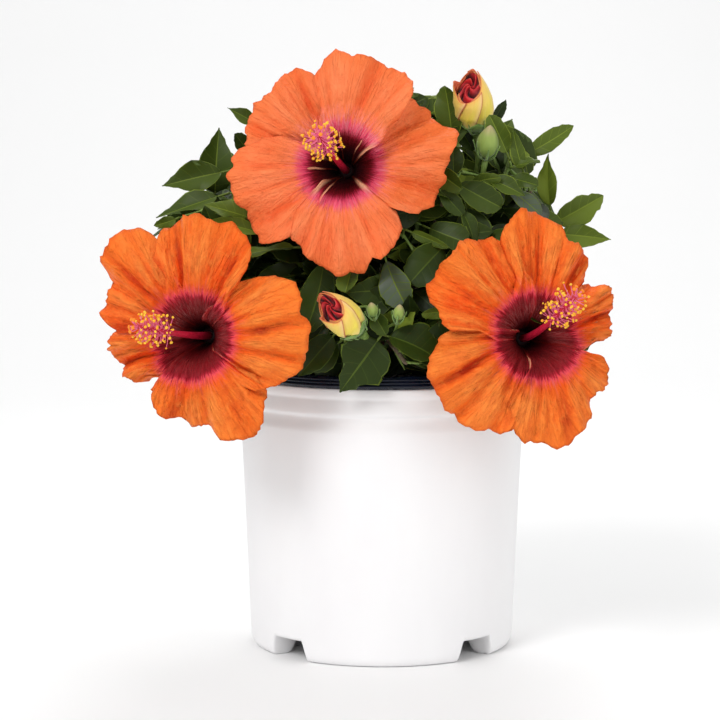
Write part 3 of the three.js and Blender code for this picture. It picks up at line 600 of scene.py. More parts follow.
# %% Tubes
# directions that no limb and no bead's axis follows, to measure turns from
LIMB_SIDE, BEAD_SIDE = (0.31, 0.17, 0.12), (0.37, 0.21, 0.9)


def tube(line, radii, sides, swell=None):
    """Points and faces of a round limb along a line, closed at both ends. swell gives, for a share of
    the line and the turns round it, how much the radius grows."""
    line = np.asarray(line, float)
    radii = np.broadcast_to(radii, len(line))
    along = unit(np.gradient(line, axis=0))
    side = unit(np.cross(LIMB_SIDE, along[0]))
    turns, rings = ring_turns(sides), []
    for k, (centre, axis) in enumerate(zip(line, along)):
        side = unit(side - axis * side.dot(axis))
        wide = radii[k] * (swell(k / (len(line) - 1), turns) if swell else np.ones(sides))
        ring = np.cos(turns)[:, None] * side + np.sin(turns)[:, None] * np.cross(axis, side)
        rings.append(centre + ring * wide[:, None])
    count = len(line) * sides
    last = count - sides
    caps = [(count, b, a) for a, b in ring_pairs(sides)]
    caps += [(count + 1, last + a, last + b) for a, b in ring_pairs(sides)]
    faces = grid_faces(len(line), sides, wrap=True).tolist() + caps
    return np.vstack([*rings, line[:1], line[-1:]]), faces


def bark_swell(seed, scars, depth):
    """Ridges along a limb, and a scar on alternate sides at even steps."""
    draw = np.random.default_rng(seed)
    phases = draw.uniform(0, 2 * math.pi, 4)

    def swell(share, turns):
        ridges = 0.5 * np.sin(4 * turns + phases[0] + 5 * share)
        ridges = ridges + 0.5 * np.sin(7 * turns + phases[1] - 9 * share)
        knots = 0.7 * np.sin(31 * share + phases[2]) * np.sin(3 * turns + phases[3] + 17 * share)
        step = share * scars
        one_side = np.clip(np.cos(turns - 2.4 * math.floor(step)), 0, 1) ** 2
        scar = np.exp(-(((step % 1) - 0.5) / 0.13) ** 2) * one_side
        return 1 + depth * (ridges + knots) + 0.22 * scar

    return swell


# %% Main stem and boughs
bark = Finish("young_bark", (0.16, 0.12, 0.07), 0.85)
bark_tones = [(0.3, (0.045, 0.03, 0.018)), (0.55, (0.15, 0.11, 0.065)), (0.8, (0.3, 0.25, 0.17))]
cracks = bark.mottled(bark_tones, 0.5, (1, 1, 0.25), 420, 6, 0.65)
bark.roughness(bark.ramp(cracks, [(0.3, 0.95), (0.8, 0.7)]))
wood = Heap()
shares = np.linspace(0, 1, 70) ** 1.25
wood.add(*tube(main_stem.at(shares), main_stem.radius(shares), 24, bark_swell(3, 9, 0.05)))
for k, bough in enumerate(boughs.values()):
    shares = np.linspace(0, 1, 40)
    collar = 1 + 0.45 * np.exp(-9 * shares)
    wood.add(*tube(bough.at(shares), bough.radius(shares) * collar, 16, bark_swell(20 + k, 4, 0.045)))
wooden = ["main_stem", *(f"bough_{name}" for name in MASSES)]
wood.piece("stem_and_boughs", [bark.material], slot="bark", replaces=wooden)
print("wood:", len(wood.faces), "faces")

# %% [markdown]
# ## Blooms: where they stand
# Each open bloom has a frame of its own: its foot, its right and up, and the axis along which it
# faces. Petals, column and calyx are all worked out in that frame, as radius, angle and height above
# the foot. The stalk swings round from its bough into line with the axis.

# %% Bloom and bud sizes
# mm from a bloom's foot to its throat, and from its foot down to the top of its stalk
COROLLA_DEPTH, STALK_TOP = 26, -3.2
# angle of each petal's middle, half its width in degrees, its layer, and how far from the axis it
# reaches at even steps from its clockwise edge to the other
TOP_PETALS = [
    (72, 36, 2, (43, 57, 62, 60, 60, 61, 61.5, 60, 51)),
    (139, 34, -1, (52, 60, 61, 57, 58, 58, 60, 55, 53)),
    (197, 42, 1, (38, 48, 62, 62, 60, 59, 61, 58, 49)),
    (273, 47, 2, (37, 46, 54, 58, 59.5, 59, 57.5, 52, 42)),
    (2, 44, -1, (38, 50, 56, 56, 58, 69, 57, 58, 50)),
]
LEFT_PETALS = [
    (82, 34, 0, (49, 59, 63, 65, 66.5, 66, 65, 62, 51)),
    (143, 33, -1, (57, 67, 71.5, 71, 67, 58, 54, 57, 46)),
    (197, 25, -2, (46, 47, 49, 50, 50.5, 48, 44.5, 43, 40)),
    (284, 49, 2, (36, 46, 44, 48, 50, 63, 62, 58, 45)),
    (9, 47, 1, (46, 56, 64, 64.5, 68, 67.5, 62, 46, 33)),
]
RIGHT_PETALS = [
    (138, 37, 0, (46, 57, 63, 66, 67, 66, 63.5, 57, 50)),
    (78, 33, -1, (45, 54, 54, 57, 64, 69.5, 69, 67, 57)),
    (18, 25, -2, (38, 42.5, 44, 46, 49, 50.5, 49.5, 47, 42)),
    (293, 49, 2, (43, 54, 58.5, 63, 55, 49, 45, 47, 40)),
    (212, 46, 1, (30, 50, 64, 64.5, 66, 63, 60.5, 58, 46)),
]
# name: throat, way it faces, column's tip right, up and in front of the throat, petals, bough
BLOOMS = {
    "top": ((-23, -78, 281), (-0.1, -1, 0.12), (-9, 13, 38), TOP_PETALS, "front_high"),
    "left": ((-97, -98, 190), (-0.26, -1, 0.05), (-35, 6, 30), LEFT_PETALS, "left_low"),
    "right": ((77, -98, 186), (0.2, -1, 0.12), (24, 27, 30), RIGHT_PETALS, "right_low"),
}
# name: foot, way it points, length, width, whether it is opening, bough
BUDS = {
    "high": ((53.2, -32, 301.5), (-0.14, -0.5, 0.86), 36, 24, True, "right_high"),
    "low": ((-14, -94, 192), (-0.56, -0.62, 0.55), 35, 24, True, "front_low"),
    "green": ((58, -47, 286.5), (0.1, -0.45, 0.89), 19, 12.5, False, "front_high"),
}
# how far each flower sits to the right of its frame and above it
SHIFTS = {"top": (0, 0), "left": (-5.8, -1.5), "right": (5.4, 2.5)}
print("blooms:", len(BLOOMS), "buds:", len(BUDS))


# %% Bloom and bud frames
class Stand:
    """A frame on a bloom, a bud or a leaf: its foot, and its right, up and axis."""

    def __init__(self, foot, facing):
        self.foot, self.axis = np.asarray(foot, float), unit(facing)
        self.right = unit(np.cross(UP, self.axis))
        self.up = np.cross(self.axis, self.right)

    def at(self, x, y, h):
        x, y, h = (np.asarray(v, float)[..., None] for v in (x, y, h))
        return self.foot + x * self.right + y * self.up + h * self.axis

    def around(self, radius, turn, height):
        return self.at(radius * np.cos(turn), radius * np.sin(turn), height)


def stalk_to(stand, bough_name, share, radius):
    start, end = boughs[bough_name].at(share), stand.at(0, 0, STALK_TOP)
    control = stand.at(0, 0, -0.55 * np.linalg.norm(start - end))
    return Limb(start, control, end, (0.85 * radius, radius))


bloom_stands, flower_stands, bud_stands, stalks = {}, {}, {}, {}
for name, (throat, facing, _, _, bough_name) in BLOOMS.items():
    stand = Stand(throat, facing)
    stand.foot = stand.at(0, 0, -COROLLA_DEPTH)
    bloom_stands[name], stalks[name] = stand, stalk_to(stand, bough_name, 0.74, 1.8)
    flower_stands[name] = Stand(stand.at(*SHIFTS[name], 0), facing)
for name, (bud_foot, pointing, _, _, opening, bough_name) in BUDS.items():
    bud_stands[name] = Stand(bud_foot, pointing)
    stalks[name] = stalk_to(bud_stands[name], bough_name, *((0.66, 1.6) if opening else (0.48, 1.2)))
print("blooms and buds:", ", ".join(stalks))

# %% [markdown]
# ## Petals
# A hibiscus petal is a fan: a narrow claw in the throat that opens into a wide blade, with creases
# that run out from the throat and a frilled edge. It could be sculpted, or modelled flat and bent with
# modifiers. Here each petal is one formula over a grid, so the same few numbers give the broad wave,
# the creases, the frill and the scalloped outline, and the grid is then closed into a thin body.

# %% A closed thin sheet
def thin_sheet(grid, thickness):
    """Points and faces of a closed thin body over a grid (rows, columns, 3). The faces come in three
    lists: front, back and edge."""
    rows, columns = grid.shape[:2]
    normal = unit(np.cross(np.gradient(grid, axis=1), np.gradient(grid, axis=0)))
    points = np.vstack([grid.reshape(-1, 3), (grid - normal * thickness).reshape(-1, 3)])
    front = grid_faces(rows, columns)
    back = front[:, ::-1] + rows * columns
    ids = np.arange(rows * columns).reshape(rows, columns)
    loop = np.concatenate([ids[0, :-1], ids[:-1, -1], ids[-1, :0:-1], ids[:0:-1, 0]])
    ahead = np.roll(loop, -1)
    edge = np.stack([loop, loop + rows * columns, ahead + rows * columns, ahead], -1)
    return points, front, back, edge


def lay_flat(piece, rows, columns, front_count, back_count):
    """A map for the petal's textures: the front in the left part, the back in the right part."""
    layer = piece.data.uv_layers.new(name="OFBake")
    column, row = np.meshgrid(np.linspace(0, 1, columns), np.linspace(0, 1, rows))
    flat = np.stack([column, row], -1).reshape(-1, 2)
    front_map, back_map = 0.01 + flat * (0.6, 0.98), (0.63, 0.01) + flat * (0.36, 0.98)
    index = np.zeros(len(piece.data.loops), np.int32)
    piece.data.loops.foreach_get("vertex_index", index)
    face = np.arange(len(index)) // 4
    on_back = (face >= front_count) & (face < front_count + back_count)
    own = index % (rows * columns)
    places = np.where(on_back[:, None], back_map[own], front_map[own])
    layer.data.foreach_set("uv", places.astype(np.float32).ravel())


# %% Waves
def wander(x, draw, frequencies, sizes):
    """A smooth irregular line: a few waves whose lengths and phases are drawn."""
    waves = []
    for frequency, size in zip(frequencies, sizes):
        waves.append(size * np.sin(x * frequency * draw.uniform(0.8, 1.25) + draw.uniform(0, 6.28)))
    return sum(waves)


# %% [markdown]
# ## The shape of one petal
# Three things make a petal look real: a scalloped outline, creases that fan out of the throat, and a
# frill that grows towards the edge. Each is a short formula over the same two shares, along the petal
# and across it, so that they can be tuned one by one and then simply add up.

# %% A petal's outline and creases
# (distance from the axis, height) of the curve that the middle of a petal follows, in mm
PETAL_LINE = np.array([(4.6, 0), (6.5, 27), (22, 36), (62, 31)], float)
PETAL_LINE_REACH, PETAL_THICKNESS, LAYER_STEP = 62, 0.5, 2.8
PETAL_ROWS, PETAL_COLUMNS = 58, 52
# half a claw's angle, and the distances from the axis over which it widens into the blade
CLAW_HALF, CLAW_ENDS = 47, (20, 36)
# the distance from the axis that a finish reads as 1
FULL_REACH = 70


def petal_reach(reaches, half_width, along, across, draw):
    """How far from the axis the blade ends, with small scallops and one deeper notch."""
    places, fine_places = np.linspace(-1, 1, len(reaches)), np.linspace(-1, 1, 161)
    padded = np.pad(np.interp(fine_places, places, reaches), 12, "edge")
    softened = np.convolve(padded, np.hanning(25) / np.hanning(25).sum(), "valid")
    scallops = wander(across, draw, (9, 17, 31, 57), (0.8, 0.6, 0.4, 0.22)) * 1.5 * half_width / 45
    scallops = scallops - 1.4 * np.exp(-(((across - draw.uniform(-0.8, 0.8)) / 0.05) ** 2))
    reach = np.interp(across, fine_places, softened)
    return reach * (1 - 0.06 * np.abs(across) ** 14) + scallops * along**5


def petal_folds(along, across, draw):
    """The angle of the fan of creases, and their depth: 1 in a sharp valley, -1 on a round crest."""
    fan = across * draw.uniform(2.6, 3.4) + wander(along, draw, (3, 7), (0.22, 0.1))
    broad = 1 - 2 * np.abs(np.sin(fan + draw.uniform(0, 3.1))) ** 0.8
    mid = 1 - 2 * np.abs(np.sin(2.7 * fan + draw.uniform(0, 3.1) + 0.5 * along)) ** 0.8
    small = np.sin(7.3 * fan + draw.uniform(0, 6.28) + 2 * along)
    small = small * np.sin(2.1 * fan + 5 * along + draw.uniform(0, 6.28))
    return fan, 0.55 * broad * draw.uniform(0.7, 1) + 0.33 * mid + 0.2 * small


# %% A petal's surface
def petal_grid(stand, petal, phase, seed, crumple, curl, warmth):
    """A petal's mid surface, and named numbers for each of its points."""
    angle, half_width, layer, reaches = petal
    draw = np.random.default_rng(seed)
    along = (np.linspace(0, 1, PETAL_ROWS) ** 0.8)[:, None]
    across = np.linspace(1, -1, PETAL_COLUMNS)[None, :]
    t = along[..., None]
    a, b, c, d = PETAL_LINE
    line = (1 - t) ** 3 * a + 3 * (1 - t) ** 2 * t * b + 3 * (1 - t) * t**2 * c + t**3 * d
    opened = smoothstep(along, 0.15, 0.6)
    reach = petal_reach(reaches, half_width, along, across, draw)
    out = line[..., 0] * mix(1, reach / PETAL_LINE_REACH, opened)
    side_frill = wander(along, draw, (8, 17, 31), (1.3, 0.9, 0.5)) * np.abs(across) ** 5 * opened
    widened = mix(CLAW_HALF, half_width, smoothstep(out, *CLAW_ENDS))
    turn = np.radians(angle + widened * across + side_frill)
    height = line[..., 1] + layer * LAYER_STEP * opened
    height = height + (2.4 + 0.6 * crumple) * along**2.2 * np.sin(5.2 * across + phase)
    near_edge = np.maximum(along**6, 0.75 * opened * np.abs(across) ** 8)
    frill = wander(across + 0.25 * along, draw, (7, 14, 27), (2.1, 1.5, 0.8))
    height = height + near_edge * frill * (0.7 + 0.12 * crumple) * half_width / 45
    fan, fold = petal_folds(along, across, draw)
    raised = smoothstep(along, 0.28, 0.7) * (1 - 0.35 * along**6)
    height = height - crumple * fold * raised
    rumple = np.sin(31 * fan + 9 * along) * np.sin(24 * along + 4 * fan + phase)
    height = height + 0.16 * crumple * rumple * smoothstep(along, 0.45, 0.8)
    height = height - 2.4 * near_edge * along**3
    height = height + curl * np.abs(across) ** 7 * np.exp(-(((out - 17) / 7) ** 2))
    half_span = out * np.radians(half_width)
    to_edge = np.minimum((1 - along) * PETAL_LINE_REACH + 0 * across, (1 - np.abs(across)) * half_span)
    values = {
        "from_throat": out / FULL_REACH,
        "turn": turn / (2 * math.pi),
        "across": np.abs(across) + 0 * out,
        "fold": fold * raised / 2 + 0.5,
        "to_edge": np.clip(to_edge / 8, 0, 1),
        "warmth": warmth + 0 * out,
        "dusk": smoothstep(math.sin(math.radians(angle)), -0.2, 0.5) + 0 * out,
    }
    return stand.around(out, turn, height), values


def petal_piece(name, stand, petal, phase, seed, crumple, curl, warmth, finishes, node):
    grid, values = petal_grid(stand, petal, phase, seed, crumple, curl, warmth)
    points, front, back, edge = thin_sheet(grid, PETAL_THICKNESS)
    faces = np.vstack([front, back, edge])
    tints = np.repeat([0, 1, 0], [len(front), len(back), len(edge)])
    values = {key: np.tile(numbers.ravel(), 2) for key, numbers in values.items()}
    materials = [finish.material for finish in finishes]
    piece = new_piece(name, points, faces, materials, tints, slot="petal", replaces=[node], values=values)
    lay_flat(piece, PETAL_ROWS, PETAL_COLUMNS, len(front), len(back))
    return piece


# %% [markdown]
# ## Petal colours
# From the throat outwards a petal is almost black, then crimson, then a magenta halo that frays into
# pale pink rays, and then orange. Painting it by distance alone would give hard rings. Noise that is
# stretched along the petal shifts the distance a little from ray to ray, which frays the rings, and
# where that noise crosses its middle it also draws the branching veins. The creases of the mesh hand
# their depth to the finish, which paints shade into them, darker and redder, and a paler painted
# highlight onto the crests. The small crinkles get painted shade and highlight the same way, and a
# thin line of painted shade runs along each petal's edge.

# %% Petal colours
def by_distance(stops):
    """Stops of a ramp whose places are mm from the flower's axis."""
    return [(distance / FULL_REACH, value) for distance, value in stops]


def petal_finish(name, rings, fray, vein, vein_zone, halo, halo_zone, tones, cream, crepe):
    """rings are (mm from the axis, colour) and fray is how far rays shift them, in mm. vein and halo
    tint fine lines inside their zones (mm). tones are the painted shade of the creases, the painted
    highlight of the crests, the warm petals and the outer edge, cream is how pale the rolled edges by
    the throat are, and crepe how strongly the small crinkles show, with painted shade in their hollows
    and painted highlight on their tops."""
    shade, crest_highlight, warm, edge_tone = tones
    made = Finish(name, crest_highlight, 0.5, Specular_IOR_Level=0.12)
    times, plus, ramp = made.times, made.plus, made.ramp
    out, turn, across, fold = (made.attribute(value) for value in ("from_throat", "turn", "across", "fold"))
    to_edge, warmth, dusk = (made.attribute(value) for value in ("to_edge", "warmth", "dusk"))

    def rays_of(length):
        return made.node("CombineXYZ", X=times(turn, 60), Y=times(out, length)).outputs[0]

    def off_middle(noise):
        return made.maths("SUBTRACT", noise, 0.5)

    def zone(low, high):
        stops = [(low, 0.0), (mix(low, high, 0.3), 1.0), (mix(low, high, 0.55), 0.7), (high, 0.0)]
        return ramp(out, by_distance(stops))

    def lines(noise, sharpness):
        crossing = made.maths("ABSOLUTE", off_middle(noise))
        return made.maths("SUBTRACT", 1, times(crossing, sharpness), clamp=True)

    def tint(amount, share, tone):
        return made.blend(times(amount, share), color, (*tone, 1))

    rays = rays_of(2.2)
    fine = made.noise(rays, 3.4, 4, 0.6, 0.3)
    color = ramp(plus(out, times(off_middle(fine), fray / FULL_REACH)), by_distance(rings))
    in_blade = ramp(out, by_distance([(27, 0.0), (38, 1.0)]))
    # warm clouds, then painted highlight on the crests and painted shade in the creases
    cloudy = ramp(made.noise(made.place(), 38, 2), [(0.38, 0.0), (0.62, 1.0)])
    color = tint(times(plus(times(warmth, 0.65), times(cloudy, 0.35)), in_blade), 0.9, warm)
    depth = plus(fold, times(off_middle(made.noise(made.place(), 70, 5, 0.6)), 0.4))
    color = tint(times(ramp(depth, [(0.2, 1.0), (0.48, 0.0)]), in_blade), 0.7, crest_highlight)
    color = tint(times(ramp(depth, [(0.52, 0.0), (0.76, 1.0)]), in_blade), 0.85, shade)
    # small crinkles with painted shade in their hollows and painted highlight on their tops, and veins of the
    # blade
    crinkles = made.noise(rays_of(8), 1.3, 4, 0.6, 0.4)
    color = tint(times(ramp(crinkles, [(0.34, 1.0), (0.5, 0.0)]), in_blade), 0.45 * crepe, shade)
    color = tint(times(ramp(crinkles, [(0.54, 0.0), (0.68, 1.0)]), in_blade), crepe, crest_highlight)
    veins = made.noise(rays, 1.7, 3, 0.5, 0.6)
    color = tint(times(lines(veins, 9), in_blade), mix(0.1, 0.36, crepe), shade)
    # rays of the halo, veins of the throat, and the rolled edges beside it
    halo_lines = ramp(made.noise(rays, 2.3, 2, 0.5, 0.2), [(0.52, 0.0), (0.72, 1.0)])
    color = tint(times(halo_lines, zone(*halo_zone)), 0.45, halo)
    vein_lines = times(lines(fine, 16), zone(*vein_zone))
    color = tint(times(vein_lines, plus(times(dusk, 0.7), 0.2)), 0.85, vein)
    rolled = ramp(out, by_distance([(9, 0.0), (13, 1.0), (18, 1.0), (24, 0.0)]))
    color = tint(times(ramp(across, [(0.8, 0.0), (0.92, 1.0)]), rolled), cream, ROLLED_CREAM)
    color = tint(ramp(out, by_distance([(46, 0.0), (62, 1.0)])), 0.45, edge_tone)
    # a thin line of painted shade along the petal's edge, where one petal lies over the next
    color = tint(ramp(to_edge, [(0.04, 1.0), (0.14, 0.0)]), 0.2, shade)
    made.color(color)
    crinkle = made.noise(made.place(), 260, 5, 0.6)
    bumps = plus(crinkles, times(crinkle, 0.5))
    made.relief(plus(times(lines(veins, 9), -0.2), bumps), mix(1.8, 2.6, crepe), 0.9)
    made.roughness(ramp(crinkle, [(0.3, 0.45), (0.7, 0.65)]))
    return made


# %% The three finishes of the petals
BLACK_RED, WINE, BURGUNDY = (0.014, 0.001, 0.002), (0.06, 0.002, 0.004), (0.17, 0.006, 0.01)
CRIMSON, ROSE, LILAC = (0.42, 0.012, 0.045), (0.83, 0.055, 0.14), (0.88, 0.26, 0.38)
SALMON, ORANGE, PINK_RAYS = (0.95, 0.2, 0.066), (0.88, 0.11, 0.01), (0.9, 0.2, 0.2)
ROLLED_CREAM = (0.83, 0.45, 0.26)
# painted shade of the creases, painted highlight of the crests, warm petals, outer edge
SALMON_TONES = [(0.78, 0.095, 0.022), (0.96, 0.26, 0.1), (0.78, 0.15, 0.034), (0.92, 0.2, 0.045)]
ORANGE_TONES = [(0.46, 0.018, 0.003), (0.96, 0.28, 0.05), (0.94, 0.22, 0.028), (0.93, 0.2, 0.022)]
BACK_TONES = [(0.8, 0.14, 0.05), (0.93, 0.32, 0.13), (0.93, 0.3, 0.1), (0.93, 0.3, 0.08)]
salmon_rings = [(0, BLACK_RED), (7, BLACK_RED), (12, WINE), (16, BURGUNDY), (18, CRIMSON)]
salmon_rings += [(20, ROSE), (22.5, (0.88, 0.1, 0.16)), (26.5, SALMON), (70, SALMON)]
orange_rings = [(0, BLACK_RED), (5, BLACK_RED), (10, (0.13, 0.003, 0.005)), (15, (0.24, 0.007, 0.01))]
orange_rings += [(20.5, (0.3, 0.01, 0.018)), (22.5, (0.5, 0.016, 0.035)), (24, (0.85, 0.075, 0.11))]
orange_rings += [(25.5, (0.88, 0.1, 0.07)), (29, ORANGE), (70, ORANGE)]
back_rings = [(0, (0.7, 0.45, 0.25)), (12, (0.75, 0.32, 0.22)), (22, (0.85, 0.24, 0.16))]
back_rings += [(34, (0.9, 0.24, 0.09)), (70, (0.9, 0.25, 0.07))]
salmon_lines = ((0.93, 0.32, 0.36), (16, 34), LILAC, (17, 34))
orange_lines = ((0.5, 0.17, 0.16), (9, 25), PINK_RAYS, (22, 36))
back_lines = ((0.93, 0.5, 0.3), (10, 60), (0.93, 0.4, 0.3), (10, 50))
salmon = petal_finish("petal_salmon", salmon_rings, 11, *salmon_lines, SALMON_TONES, 0.9, 0.34)
orange = petal_finish("petal_orange", orange_rings, 13, *orange_lines, ORANGE_TONES, 0, 0.5)
petal_back = petal_finish("petal_back", back_rings, 12, *back_lines, BACK_TONES, 0.9, 0.3)
print("petal finish:", len(salmon.tree.nodes), "nodes")

# %% Petals
# how deep the creases are and how far the edges by the throat roll up, in mm
CRUMPLE = {"top": 2.6, "left": 5.8, "right": 5.4}
CLAW_CURL = {"top": 3.6, "left": 0, "right": 0}
# how yellow each petal is, 0 being not at all
WARMTH = {"top": (0.35, 0.5, 0, 0.15, 1.3), "left": (0, 0, 0.3, 0.9, 1), "right": (0, 0.1, 0.35, 0.9, 0.8)}
for order, (name, bloom) in enumerate(BLOOMS.items()):
    finishes = [salmon if name == "top" else orange, petal_back]
    for i, petal in enumerate(bloom[3]):
        seed = 50 * order + i
        looks = (1.7 * i + order, seed, CRUMPLE[name], CLAW_CURL[name], WARMTH[name][i])
        piece_name, node = f"bloom_{name}_petal_{i + 1}", f"bloom_{name}_petals"
        petal_piece(piece_name, flower_stands[name], petal, *looks, finishes, node)
print("petals:", sum(len(bloom[3]) for bloom in BLOOMS.values()))

# %% [markdown]
# ## Columns
# In a hibiscus the stamens are grown together into one tube round the style. It leaves the throat, and
# over its outer half thin pink filaments stand off all round, each with a yellow kidney-shaped anther.
# Five arms with round orange stigmas end it. The filaments leave by the golden angle, which spreads
# them evenly without rows, and all of it is small tubes and beads joined into one piece for each bloom.

# %% Beads
def bead(centre, size, axis, sides=7, rings=5):
    """Points and faces of a small rounded body: half sizes across, across and along its axis."""
    axis = unit(axis)
    side = unit(np.cross(BEAD_SIDE, axis))
    other = np.cross(axis, side)
    tilt = np.linspace(0, math.pi, rings + 2)[1:-1, None]
    turns = ring_turns(sides)[None]
    x, y = size[0] * np.sin(tilt) * np.cos(turns), size[1] * np.sin(tilt) * np.sin(turns)
    z = -size[2] * np.cos(tilt) + 0 * turns
    body = x[..., None] * side + y[..., None] * other + z[..., None] * axis
    ends = [-axis * size[2], axis * size[2]]
    count = rings * sides
    faces = grid_faces(rings, sides, wrap=True).tolist()
    faces += [(count, b, a) for a, b in ring_pairs(sides)]
    faces += [(count + 1, count - sides + a, count - sides + b) for a, b in ring_pairs(sides)]
    return centre + np.vstack([body.reshape(-1, 3), *[e[None] for e in ends]]), faces


# %% Finishes of a column
tube_red = Finish("column_red", (0.5, 0.006, 0.03), 0.45)
tube_red.mottled([(0.3, (0.38, 0.004, 0.02)), (0.7, (0.62, 0.012, 0.05))], 0.15, (1, 1, 1), 700, 3)
filament_pink = plain_material("filament_pink", (0.83, 0.16, 0.3), 0.45)
anther_yellow = plain_material("anther_yellow", (0.93, 0.42, 0.015), 0.75)
pollen_gold = plain_material("pollen_gold", (0.95, 0.56, 0.04), 0.8)
stigma_orange = plain_material("stigma_orange", (0.93, 0.26, 0.01), 0.7)
column_materials = [tube_red.material, filament_pink, anther_yellow, pollen_gold, stigma_orange]
print("column finishes:", len(column_materials))

# %% Columns
# degrees from one filament or twig to the next one up
GOLDEN_TURN = 137.508
COLUMN_RADII, FILAMENTS, FILAMENT_LENGTHS, STIGMA_ARMS = (2.3, 1.05), 86, (6.5, 10.5), 5
# how much of the solid's column the tube takes up, and where on it the filaments begin
COLUMN_ENDS = {"top": (0.98, 0.7), "left": (0.9, 0.6), "right": (0.92, 0.58)}
thread_shares = np.linspace(0, 1, 6)
for order, (name, (_, _, tip, _, _)) in enumerate(BLOOMS.items()):
    stand, heap = flower_stands[name], Heap()
    draw = np.random.default_rng(70 + order)
    right, up, forward = tip
    tip_at = bloom_stands[name].at(right, up, COROLLA_DEPTH + forward)
    line = Limb(stand.at(0, 0, 1.9), stand.at(0, 0, 38), tip_at, COLUMN_RADII)
    column_end, first_filament = COLUMN_ENDS[name]
    shares = np.linspace(0, column_end, 34)
    heap.add(*tube(line.at(shares), line.radius(shares), 12))
    for k in range(FILAMENTS):
        share = mix(first_filament, column_end - 0.01, k / (FILAMENTS - 1)) + draw.uniform(-0.01, 0.005)
        root, along = line.at(share), line.tangent(share)
        side = turn_about(unit(np.cross(along, stand.up)), along, k * GOLDEN_TURN)
        length = draw.uniform(*FILAMENT_LENGTHS)
        lean = draw.uniform(0.05, 0.5)
        knee = root + length * (0.55 * side + 0.02 * along)
        end = root + length * (0.92 * side + lean * along) + draw.normal(0, 0.4, 3)
        heap.add(*tube(bent(root, knee, end, thread_shares), np.linspace(0.3, 0.2, 6), 5), 1)
        size = draw.uniform(0.62, 1.0)
        heap.add(*bead(end, (0.75 * size, 0.95 * size, 1.05 * size), draw.normal(size=3)), 2 + k % 2)
        if k % 3:
            grain_at = end + draw.normal(0, 0.5, 3)
            heap.add(*bead(grain_at, (0.55 * size, 0.6 * size, 0.7 * size), draw.normal(size=3)), 3)
    end, along = line.at(column_end), line.tangent(column_end)
    for k in range(STIGMA_ARMS):
        side = turn_about(unit(np.cross(along, stand.right)), along, 72 * k + 20)
        knee, top = end + 2.6 * along + 0.8 * side, end + 3.6 * along + 3.6 * side
        heap.add(*tube(bent(end - along, knee, top, thread_shares), np.linspace(0.5, 0.4, 6), 6), 1)
        heap.add(*bead(top, (1.15, 1.15, 0.85), along + 0.5 * side, 9, 6), 4)
    heap.piece(f"bloom_{name}_stamens", column_materials, slot="column", replaces=[f"bloom_{name}_column"])
print("filaments:", FILAMENTS * len(BLOOMS))

# %% [markdown]
# ## Stalks and calyces
# Each bloom sits in a green cup with five pointed teeth, and under the cup stands a ring of thin
# bracts, the epicalyx. The stalk thickens into it and has a joint a little way down. A cup is made as
# a turned shape whose rim rises into teeth, and its outer and inner skins are closed at the rim.

# %% Cups with teeth
def two_skins(upper, lower):
    """Points and faces of a body between two grids of rings, closed along their last ring."""
    rows, columns = upper.shape[:2]
    count, last = rows * columns, (rows - 1) * columns
    faces = grid_faces(rows, columns, wrap=True).tolist()
    faces += grid_faces(rows, columns, wrap=True, first=count)[:, ::-1].tolist()
    faces += [(last + a, last + b, last + b + count, last + a + count) for a, b in ring_pairs(columns)]
    return np.vstack([upper.reshape(-1, 3), lower.reshape(-1, 3)]), faces


def toothed_cup(stand, line, thickness, rows, columns, teeth, wander=0.0, seed=0):
    """A closed cup about the stand's axis. line gives (radius, height) for a share of the way up and
    a share of a tooth's half width."""
    draw = np.random.default_rng(seed)
    phases = draw.uniform(0, 2 * math.pi, 3)
    turns = ring_turns(columns)
    from_ridge = np.abs((turns * teeth / (2 * math.pi) + 0.5) % 1 - 0.5) * 2
    up_share = np.linspace(0, 1, rows)[:, None]
    radius, height = line(up_share, from_ridge[None])
    radius = radius * (1 + wander * np.sin(3 * turns + phases[0] + 4 * up_share) * up_share)
    radius, height, turns = np.broadcast_arrays(radius, height, turns)
    outer = stand.around(radius, turns, height)
    inner = stand.around(np.maximum(radius - thickness, 0.3), turns, height + 0.4 * thickness)
    points, faces = two_skins(outer, inner)
    count = rows * columns
    faces += [(b, a, a + count, b + count) for a, b in ring_pairs(columns)]
    return points, faces


def strap(stand, turn, line, half_width, thickness=0.35, rows=9):
    """A narrow pointed bract: line holds (radius, height) from its root to its tip."""
    line = rounded(line)
    places = np.linspace(0, 1, rows)
    at = np.linspace(0, 1, len(line))
    radius, height = np.interp(places, at, line[:, 0]), np.interp(places, at, line[:, 1])
    middle = stand.around(radius, np.full(rows, turn), height)
    across = unit(np.cross(stand.axis, middle[-1] - stand.at(0, 0, 0)))
    half = half_width * np.clip(1.15 - places, 0.06, 1)[:, None] ** 0.8
    wide, thick = across * half, unit(np.cross(across, np.gradient(middle, axis=0))) * thickness
    rings = np.stack([middle - wide, middle + thick, middle + wide, middle - thick], 1)
    ends = [(3, 2, 1, 0), tuple(rows * 4 - 4 + np.arange(4))]
    return rings.reshape(-1, 3), grid_faces(rows, 4, wrap=True).tolist() + ends


# %% Finishes of stalks and cups
green = Finish("calyx_green", (0.19, 0.33, 0.06), 0.6, Sheen_Weight=0.3, Sheen_Roughness=0.5)
green_tones = [(0.3, (0.12, 0.25, 0.035)), (0.6, (0.22, 0.37, 0.07)), (0.8, (0.34, 0.46, 0.13))]
green.mottled(green_tones, 0.25, (1, 1, 0.4), 420, 5)
stalk_green = Finish("stalk_green", (0.2, 0.3, 0.06), 0.6)
stalk_tones = [(0.3, (0.11, 0.19, 0.03)), (0.6, (0.2, 0.31, 0.06)), (0.8, (0.3, 0.33, 0.12))]
stalk_green.mottled(stalk_tones, 0.3, (1, 1, 0.2), 500, 5)
receptacle = plain_material("receptacle_red", (0.03, 0.004, 0.006), 0.6)
stalk_materials = [stalk_green.material, green.material, receptacle]
print("stalk finishes:", len(stalk_materials))

# %% Stalks, cups and bracts
CALYX_TEETH, BRACTS = 5, 7


